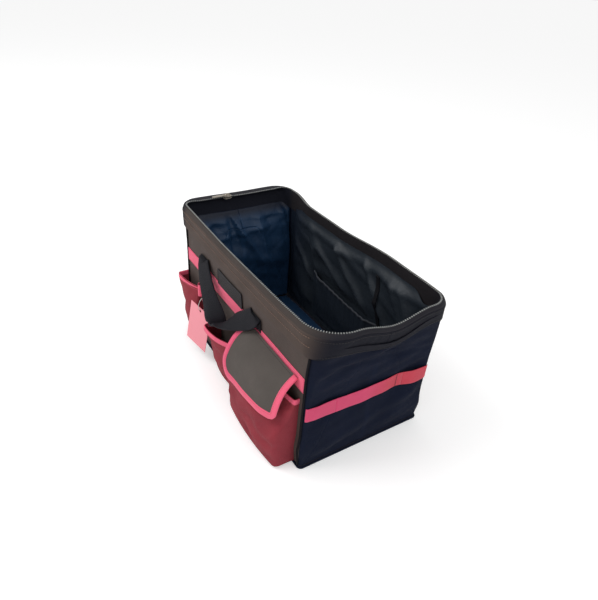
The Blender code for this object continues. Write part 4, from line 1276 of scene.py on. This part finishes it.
def flap_pieces():
    edge = flap_outline(0.0)
    bottom = max(range(len(edge)), key=lambda i: edge[i].y)
    rows = []
    for share in steps(0, 1, 40):
        depth = edge[bottom].y * sin(share * pi / 2) * 0.998
        start = across_at(edge[:bottom + 1], depth) + 1 * MM
        stop = max(across_at(edge[bottom:][::-1], depth) - 1 * MM, start + 0.5 * MM)
        rows.append([flap_point(x, depth)[0] for x in steps(start, stop, 30)])
    cloth = grid("flap_cloth", rows, "flap", FLAP_THICK, FRONTWARDS)
    settle(cloth, "flap", "dark_grey_fabric", "pocket_flap")

    first = []
    second = []
    normals = []
    for a, b in zip(flap_outline(-1.0 * MM), flap_outline(FLAP_EDGE)):
        place, normal = flap_point(a.x, max(a.y, 0), -FLAP_THICK / 2)
        first.append(place)
        second.append(flap_point(b.x, max(b.y, 0), -FLAP_THICK / 2)[0])
        normals.append(normal)
    binding = ribbon("flap_edge", first, second, normals, FLAP_THICK + 2.0 * MM, "pink",
                     lambda p: 0.35 * smooth_step(0.11 - p.x, 0, 0.05))
    settle(binding, "flap", "pink_webbing", "flap_binding")
    path = []
    for a, b, normal in zip(first, second, normals):
        path.append(a.lerp(b, 0.82) + normal * (FLAP_THICK / 2 + 1.05 * MM))
    settle(stitches("flap_edge_stitches", path, normals, "pink_thread"), "flap", "pink_webbing")
    path = [flap_point(x, 4 * MM, 0.1 * MM)[0] for x in steps(*FLAP_STITCHED_X, 36)]
    seam = stitches("flap_seam_stitches", path, [flap_point(0.1, 4 * MM)[1]] * len(path), "dark_thread")
    settle(seam, "flap", "dark_grey_fabric")


# Handles: webbing that hangs from the band and turns on edge along the grip

STRAP_HALF = 18 * MM
STRAP_THICK = 3.6 * MM
STRAP_SPAN = 0.099
STRAP_TOP = HINGE_Z + 2 * MM
STRAP_DROP = 0.080
TAB_THICK = 1.3 * MM
HANG = radians(22)
STRAP_STEPS = 26
FLATTER = 0.75
# Each half of a strap as a curve from its sewn end to its lowest place: across and down, in shares of the
# span and the drop. The front strap hangs askew, as in the photograph.
STRAP_CURVES = {
    (-1, -1): ((-1.0, 0.0), (-0.74, 0.40), (0.02, 0.80), (0.26, 0.86)),
    (-1, 1): ((1.08, -0.02), (1.00, 0.22), (0.50, 0.46), (0.26, 0.86)),
    (1, -1): ((-1.0, 0.0), (-0.95, 0.45), (-0.45, 1.0), (0.0, 1.0)),
    (1, 1): ((1.0, 0.0), (0.95, 0.45), (0.45, 1.0), (0.0, 1.0)),
}


def strap_place(share, side, way):
    """A place on a strap, from a sewn end at 0 to the lowest place at 1, before it hangs out."""
    rest = 1 - share
    weights = (rest ** 3, 3 * rest ** 2 * share, 3 * rest * share ** 2, share ** 3)
    across, down = (sum(w * place[i] for w, place in zip(weights, STRAP_CURVES[way, side])) for i in (0, 1))
    return Vector((across * STRAP_SPAN, 0, -(down * STRAP_DROP)))


def sewn_x(side, way):
    """Where a strap's end is sewn on."""
    return HANDLE_X + STRAP_CURVES[way, side][0][0] * STRAP_SPAN


def handle_stations(way):
    """The hanging strap: down from the band at one end, along the grip, and up at the other."""
    marks = range(-STRAP_STEPS, STRAP_STEPS + 1)
    places = [strap_place(1 - abs(i) / STRAP_STEPS, side_of(i), way) for i in marks]
    hang = Matrix.Rotation(way * HANG, 3, "X")
    origin = Vector((HANDLE_X, way * HANDLE_Y, HINGE_Z))
    normal = Vector((0, 1, 0))
    stations = []
    for i, place in enumerate(places):
        if i in (0, len(places) - 1):
            along = Vector((0, 0, -1 if i == 0 else 1))
        else:
            along = (places[i + 1] - places[i - 1]).normalized()
        flat = along.cross(normal)
        room = max(0.0, -place.z - abs(flat.z) * STRAP_HALF) * sin(HANG)
        flatter = FLATTER if way < 0 and i < STRAP_STEPS else 0.0
        twist = 1 - flatter * (1 - smooth_step(1 - abs(i - STRAP_STEPS) / STRAP_STEPS, 0.45, 1.0))
        turned = Matrix.Rotation(way * asin(min(1.0, room / STRAP_HALF)) * twist, 3, along)
        wide = hang @ (turned @ flat * STRAP_HALF)
        thick = hang @ (turned @ normal * (STRAP_THICK / 2))
        stations.append((origin + hang @ place, wide, thick))
    return stations


def sewn_end(side, way, station):
    """The short upright run of a strap at a sewn end, as two stations from the top."""
    wide = station[1].normalized() * STRAP_HALF
    thick = Vector((0, STRAP_THICK * 0.35, 0))
    lift = STRIP_LIFT + WEBBING + 1.0 * MM
    heights = (STRAP_TOP, HINGE_Z + 0.5 * MM)
    return [(side_point(sewn_x(side, way), z, way, lift), wide, thick) for z in heights]


def handle_pieces(face, way):
    """A handle's strap, and the tabs that it is sewn on with."""
    stations = handle_stations(way)
    whole = sewn_end(-1, way, stations[0]) + stations + sewn_end(1, way, stations[-1])[::-1]
    strap = sweep(f"{face}_grip_strap", whole, "strap", sides=20, power=6.0)
    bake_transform(strap)
    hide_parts(f"{face}_handle")
    for end, side in ENDS:
        zs = steps(low(f"{face}_handle_tab_{end}").z, STRAP_TOP + 2 * MM, 6)
        lift = STRIP_LIFT + WEBBING / 2 + 0.6 * MM
        xs = (sewn_x(side, way) - STRAP_HALF, sewn_x(side, way) + STRAP_HALF)
        first, second = ([side_point(x, z, way, lift) for z in zs] for x in xs)
        normals = [Vector((0, way, 0))] * len(zs)
        tab = ribbon(f"{face}_{end}_grip_tab", first, second, normals, TAB_THICK, "strap", tint=1.0)
        settle(tab, f"{face}_wall", "strap_webbing", f"{face}_handle_tab_{end}")


# Patch, inner pocket, and the seam behind it

PATCH_DROP = 4 * MM
PATCH_LIFT = 2.4 * MM
PATCH_TRIM = 2 * MM
POUCH_GATHERS = 13
ELASTIC_HIGH = 4 * MM
SEAM_X = (0.084, 0.116)
SEAM_FOOT_Z = 0.030
SEAM_HALF = 5 * MM


def patch_pieces():
    """The sewn patch on the front wall, left blank, with its border."""
    trim = Vector((0, 0, PATCH_TRIM))
    foot = low("front_patch") + trim
    top = high("front_patch") - trim

    def place(x, z):
        return side_point(x, z - PATCH_DROP, -1, PATCH_LIFT)

    rows = [[place(x, z) for x in steps(foot.x, top.x, 24)] for z in steps(foot.z, top.z, 10)]
    patch = grid("blank_patch", rows, "patch", 1.6 * MM, FRONTWARDS)
    settle(patch, "front_wall", "dark_grey_fabric", "front_patch")
    corners = [(foot.x, foot.z), (top.x, foot.z), (top.x, top.z), (foot.x, top.z), (foot.x, foot.z)]
    path = []
    for (x0, z0), (x1, z1) in zip(corners, corners[1:]):
        path += [place(mix(x0, x1, share), mix(z0, z1, share)) for share in steps(0, 1, 20)[:-1]]
    path.append(path[0].copy())
    normals = [FRONTWARDS] * len(path)
    border = stitches("blank_patch_border", path, normals, "dark_thread", pitch=0.8, length=0.75, width=0.9)
    settle(border, "front_wall", "dark_grey_fabric")


def pouch_place(across, share):
    """A place on the inner pocket, whose mouth is gathered by its elastic and droops."""
    x = mix(*INNER_X, across)
    z = mix(*INNER_Z, share)
    edge = min(1.0, 8 * min(across, 1 - across)) * smooth_step(share, 0, 0.1)
    gather = 0.8 * MM * share ** 4 * sin(across * 2 * pi * POUCH_GATHERS)
    fold = 3.0 * MM * max(0.0, ripple((0.040, 1, 0.12), x + 0.4 * z, 3.0, z))
    droop = 5.0 * MM * share * sin(pi * across) + 6.0 * MM * share * smooth_step(across, 0.0, 1.0)
    y = lining_point(x, z, 1).y - 1.5 * MM - edge * (3.0 * MM + 5.0 * MM * share + fold + gather)
    return Vector((x, y, z - droop + 6.0 * MM * share))


def inner_pocket_pieces():
    rows = [[pouch_place(across, share) for across in steps(0, 1, 80)] for share in steps(0, 1, 30)]
    pouch = grid("inner_pocket_cloth", rows, "black_satin", 0.9 * MM, FRONTWARDS, tint=0.3)
    settle(pouch, "rear_wall", "black_satin", "inner_pocket")
    lip = rows[-1]
    below = [place - Vector((0, 0, ELASTIC_HIGH)) for place in lip]
    elastic = ribbon("inner_pocket_elastic", lip, below, [FRONTWARDS] * len(lip), 2.2 * MM, "elastic")
    settle(elastic, "rear_wall", "black_satin")


def lining_seam():
    """The dark webbing that runs down the rear lining."""
    middles = []
    for share in steps(0, 1, 40):
        middles.append(lining_point(mix(*SEAM_X, share), mix(BAND_Z, SEAM_FOOT_Z, share), 1))
    first, second = ([place + Vector((x, -1 * MM, 0)) for place in middles] for x in (-SEAM_HALF, SEAM_HALF))
    normals = [FRONTWARDS] * len(middles)
    seam = ribbon("rear_lining_webbing", first, second, normals, 1.6 * MM, "strap", tint=1.0)
    settle(seam, "rear_wall", "black_satin")


# Zip slider and puller

SLIDER_HALF = 5.6 * MM
BRIDGE_HALF = 6.0 * MM
BRIDGE_RISE = 5.0 * MM
RING_WIDE = 4.2 * MM
RING_LONG = 6.0 * MM
PULL_HALF = 4.2 * MM


def slider_pieces():
    """The zip slider with its two plates, bridge and post, and the puller: a ring with a flat pull."""
    centre = (low("zip_slider") + high("zip_slider")) / 2
    start, stop = span("zip_slider", "y")
    foot, top = span("zip_slider", "z")
    x = JOINTS["puller_swing"]["pos_m"][0]
    for name, z in (("slider_top", top - 0.7 * MM), ("slider_foot", foot + 0.7 * MM)):
        stations = []
        for share in steps(-1, 1, 12):
            wide = SLIDER_HALF * sqrt(max(0.12, 1 - 0.82 * share ** 4)) * (1 - 0.12 * share)
            place = Vector((x, centre.y + share * ((stop - start) / 2 + 1.5 * MM), z))
            stations.append((place, Vector((wide, 0, 0)), Vector((0, 0, 1.0 * MM))))
        settle(sweep(name, stations, "slider", sides=16, power=4.0), "slider", "slider_metal", "zip_slider")
    bridge = []
    for turn in steps(0, pi, 12):
        y = centre.y + BRIDGE_HALF * cos(turn)
        bridge.append(Vector((x, y, top - 0.9 * MM + BRIDGE_RISE * sin(turn))))
    settle(round_tube("slider_bridge", bridge, 1.2 * MM, "slider"), "slider", "slider_metal")
    heights = ((0.0, foot + 0.6 * MM), (0.4, centre.z), (0.0, top - 0.6 * MM))
    post = [Vector((x - 3.0 * MM, centre.y + dy * MM, z)) for dy, z in heights]
    settle(round_tube("slider_post", post, 0.8 * MM, "slider"), "slider", "slider_metal")

    lying = (low("zip_puller").z + high("zip_puller").z) / 2
    tip, near = span("zip_puller", "y")
    ring = []
    for turn in steps(0, 2 * pi, 28)[:-1]:
        ring.append(Vector((x + RING_WIDE * sin(turn), near - 5.5 * MM + RING_LONG * cos(turn), lying)))
    loop = round_tube("puller_ring", ring, 1.1 * MM, "slider", closed=True)
    settle(loop, "puller", "slider_metal", "zip_puller")
    stations = []
    for share in steps(0, 1, 14):
        wide = PULL_HALF * sqrt(max(0.05, 1 - share ** 8)) * (0.75 + 0.25 * smooth_step(share, 0, 0.25))
        place = Vector((x, mix(near - 9.5 * MM, tip, share), lying + 0.2 * MM * sin(share * 5)))
        stations.append((place, Vector((wide, 0, 0)), Vector((0, 0, 0.9 * MM))))
    settle(sweep("puller_pull", stations, "slider", sides=16, power=4.0), "puller", "slider_metal")


# CAD nodes that stay as they are, with their finishes
CAD_LOOKS = {
    "hang_tag": "card",
    "tag_ring": "nylon",
    "flap_hook_strip": "black",
    "pocket_loop_strip": "black",
}


def cad_looks():
    for name, look in CAD_LOOKS.items():
        mesh = frame["nodes"][name].data
        mesh.materials.clear()
        mesh.materials.append(LOOKS[look])


# Camera, floor and light

CAMERA_PLACE = Vector((0.6808, -0.4601, 0.6995))
CAMERA_YAW = radians(145.77)
CAMERA_PITCH = radians(33.46)
CAMERA_ROLL = radians(4.84)
CAMERA_FOCUS = 524.8
IMAGE_LONG_SIDE = 600
SENSOR = 36.0
FLOOR_HALF = 20.0
FLOOR_GLOW = 0.30
SKY_STRENGTH = 0.70
WHITE = (1.0, 1.0, 1.0, 1.0)
PALE = (0.90, 0.90, 0.90, 1.0)
LIGHT_AIM = Vector((0, 0, 0.1))


def add_camera():
    level = cos(CAMERA_PITCH)
    ahead = Vector((level * cos(CAMERA_YAW), level * sin(CAMERA_YAW), -sin(CAMERA_PITCH)))
    right = ahead.cross(UPWARDS).normalized()
    up = right.cross(ahead)
    c, s = cos(CAMERA_ROLL), sin(CAMERA_ROLL)
    data = bpy.data.cameras.new("camera")
    data.sensor_width = SENSOR
    data.lens = CAMERA_FOCUS / IMAGE_LONG_SIDE * SENSOR
    data.clip_start = 0.01
    camera = add_object("camera", data)
    turn = Matrix((c * right + s * up, -s * right + c * up, -ahead)).transposed()
    camera.matrix_world = Matrix.Translation(CAMERA_PLACE) @ turn.to_4x4()
    bpy.context.scene.camera = camera


def add_area_light(name, place, size, power):
    data = bpy.data.lights.new(name, "AREA")
    data.size = size
    data.energy = power
    lamp = add_object(name, data)
    lamp.location = place
    lamp.rotation_euler = (LIGHT_AIM - Vector(place)).to_track_quat("-Z", "Y").to_euler()


def seen_rays(tree):
    """1 for rays that show a surface to the camera, straight or through metal and glass, else 0."""
    rays = node(tree, "ShaderNodeLightPath")
    seen = maths(tree, "ADD", rays.outputs["Is Camera Ray"], rays.outputs["Is Glossy Ray"])
    return maths(tree, "MINIMUM", maths(tree, "ADD", seen, rays.outputs["Is Transmission Ray"]), 1.0)


def add_floor():
    mesh = bpy.data.meshes.new("floor")
    corners = [(x * FLOOR_HALF, y * FLOOR_HALF, 0) for x, y in ((-1, -1), (1, -1), (1, 1), (-1, 1))]
    mesh.from_pydata(corners, [], [(0, 1, 2, 3)])
    paint, tree, shader = new_material("floor_paint")
    shader.inputs["Base Color"].default_value = PALE
    shader.inputs["Roughness"].default_value = 0.9
    shader.inputs["Specular IOR Level"].default_value = 0.0
    shader.inputs["Emission Color"].default_value = WHITE
    tree.links.new(maths(tree, "MULTIPLY", seen_rays(tree), FLOOR_GLOW), shader.inputs["Emission Strength"])
    mesh.materials.append(paint)
    floor = add_object("floor", mesh)


def add_sky():
    """A soft white sky, which is plain white where the camera sees it."""
    world = bpy.data.worlds.new("world")
    bpy.context.scene.world = world
    world.use_nodes = True
    tree = world.node_tree
    sky = tree.nodes["Background"]
    sky.inputs["Color"].default_value = WHITE
    sky.inputs["Strength"].default_value = SKY_STRENGTH
    white = node(tree, "ShaderNodeBackground", {"Strength": 1.0})
    either = node(tree, "ShaderNodeMixShader", {0: seen_rays(tree), 1: sky.outputs[0], 2: white.outputs[0]})
    tree.links.new(either.outputs[0], tree.nodes["World Output"].inputs[0])


def main():
    add_camera()
    add_floor()
    add_sky()
    add_area_light("key_light", (-0.9, -1.5, 2.0), 1.4, 26)
    add_area_light("fill_light", (1.9, -0.3, 1.6), 1.6, 10)
    bpy.context.scene.view_settings.view_transform = "Standard"
    base_pieces()
    for end, side in ENDS:
        end_pieces(end, side)
    for face, way in FACES:
        wall_pieces(face, way)
        for end, side in ENDS:
            mouth_quarter(face, way, end, side)
    for name, form in POCKETS.items():
        pocket_piece(name, **form)
    pen_loop_pieces()
    flap_pieces()
    for face, way in FACES:
        handle_pieces(face, way)
    patch_pieces()
    inner_pocket_pieces()
    lining_seam()
    slider_pieces()
    cad_looks()


main()
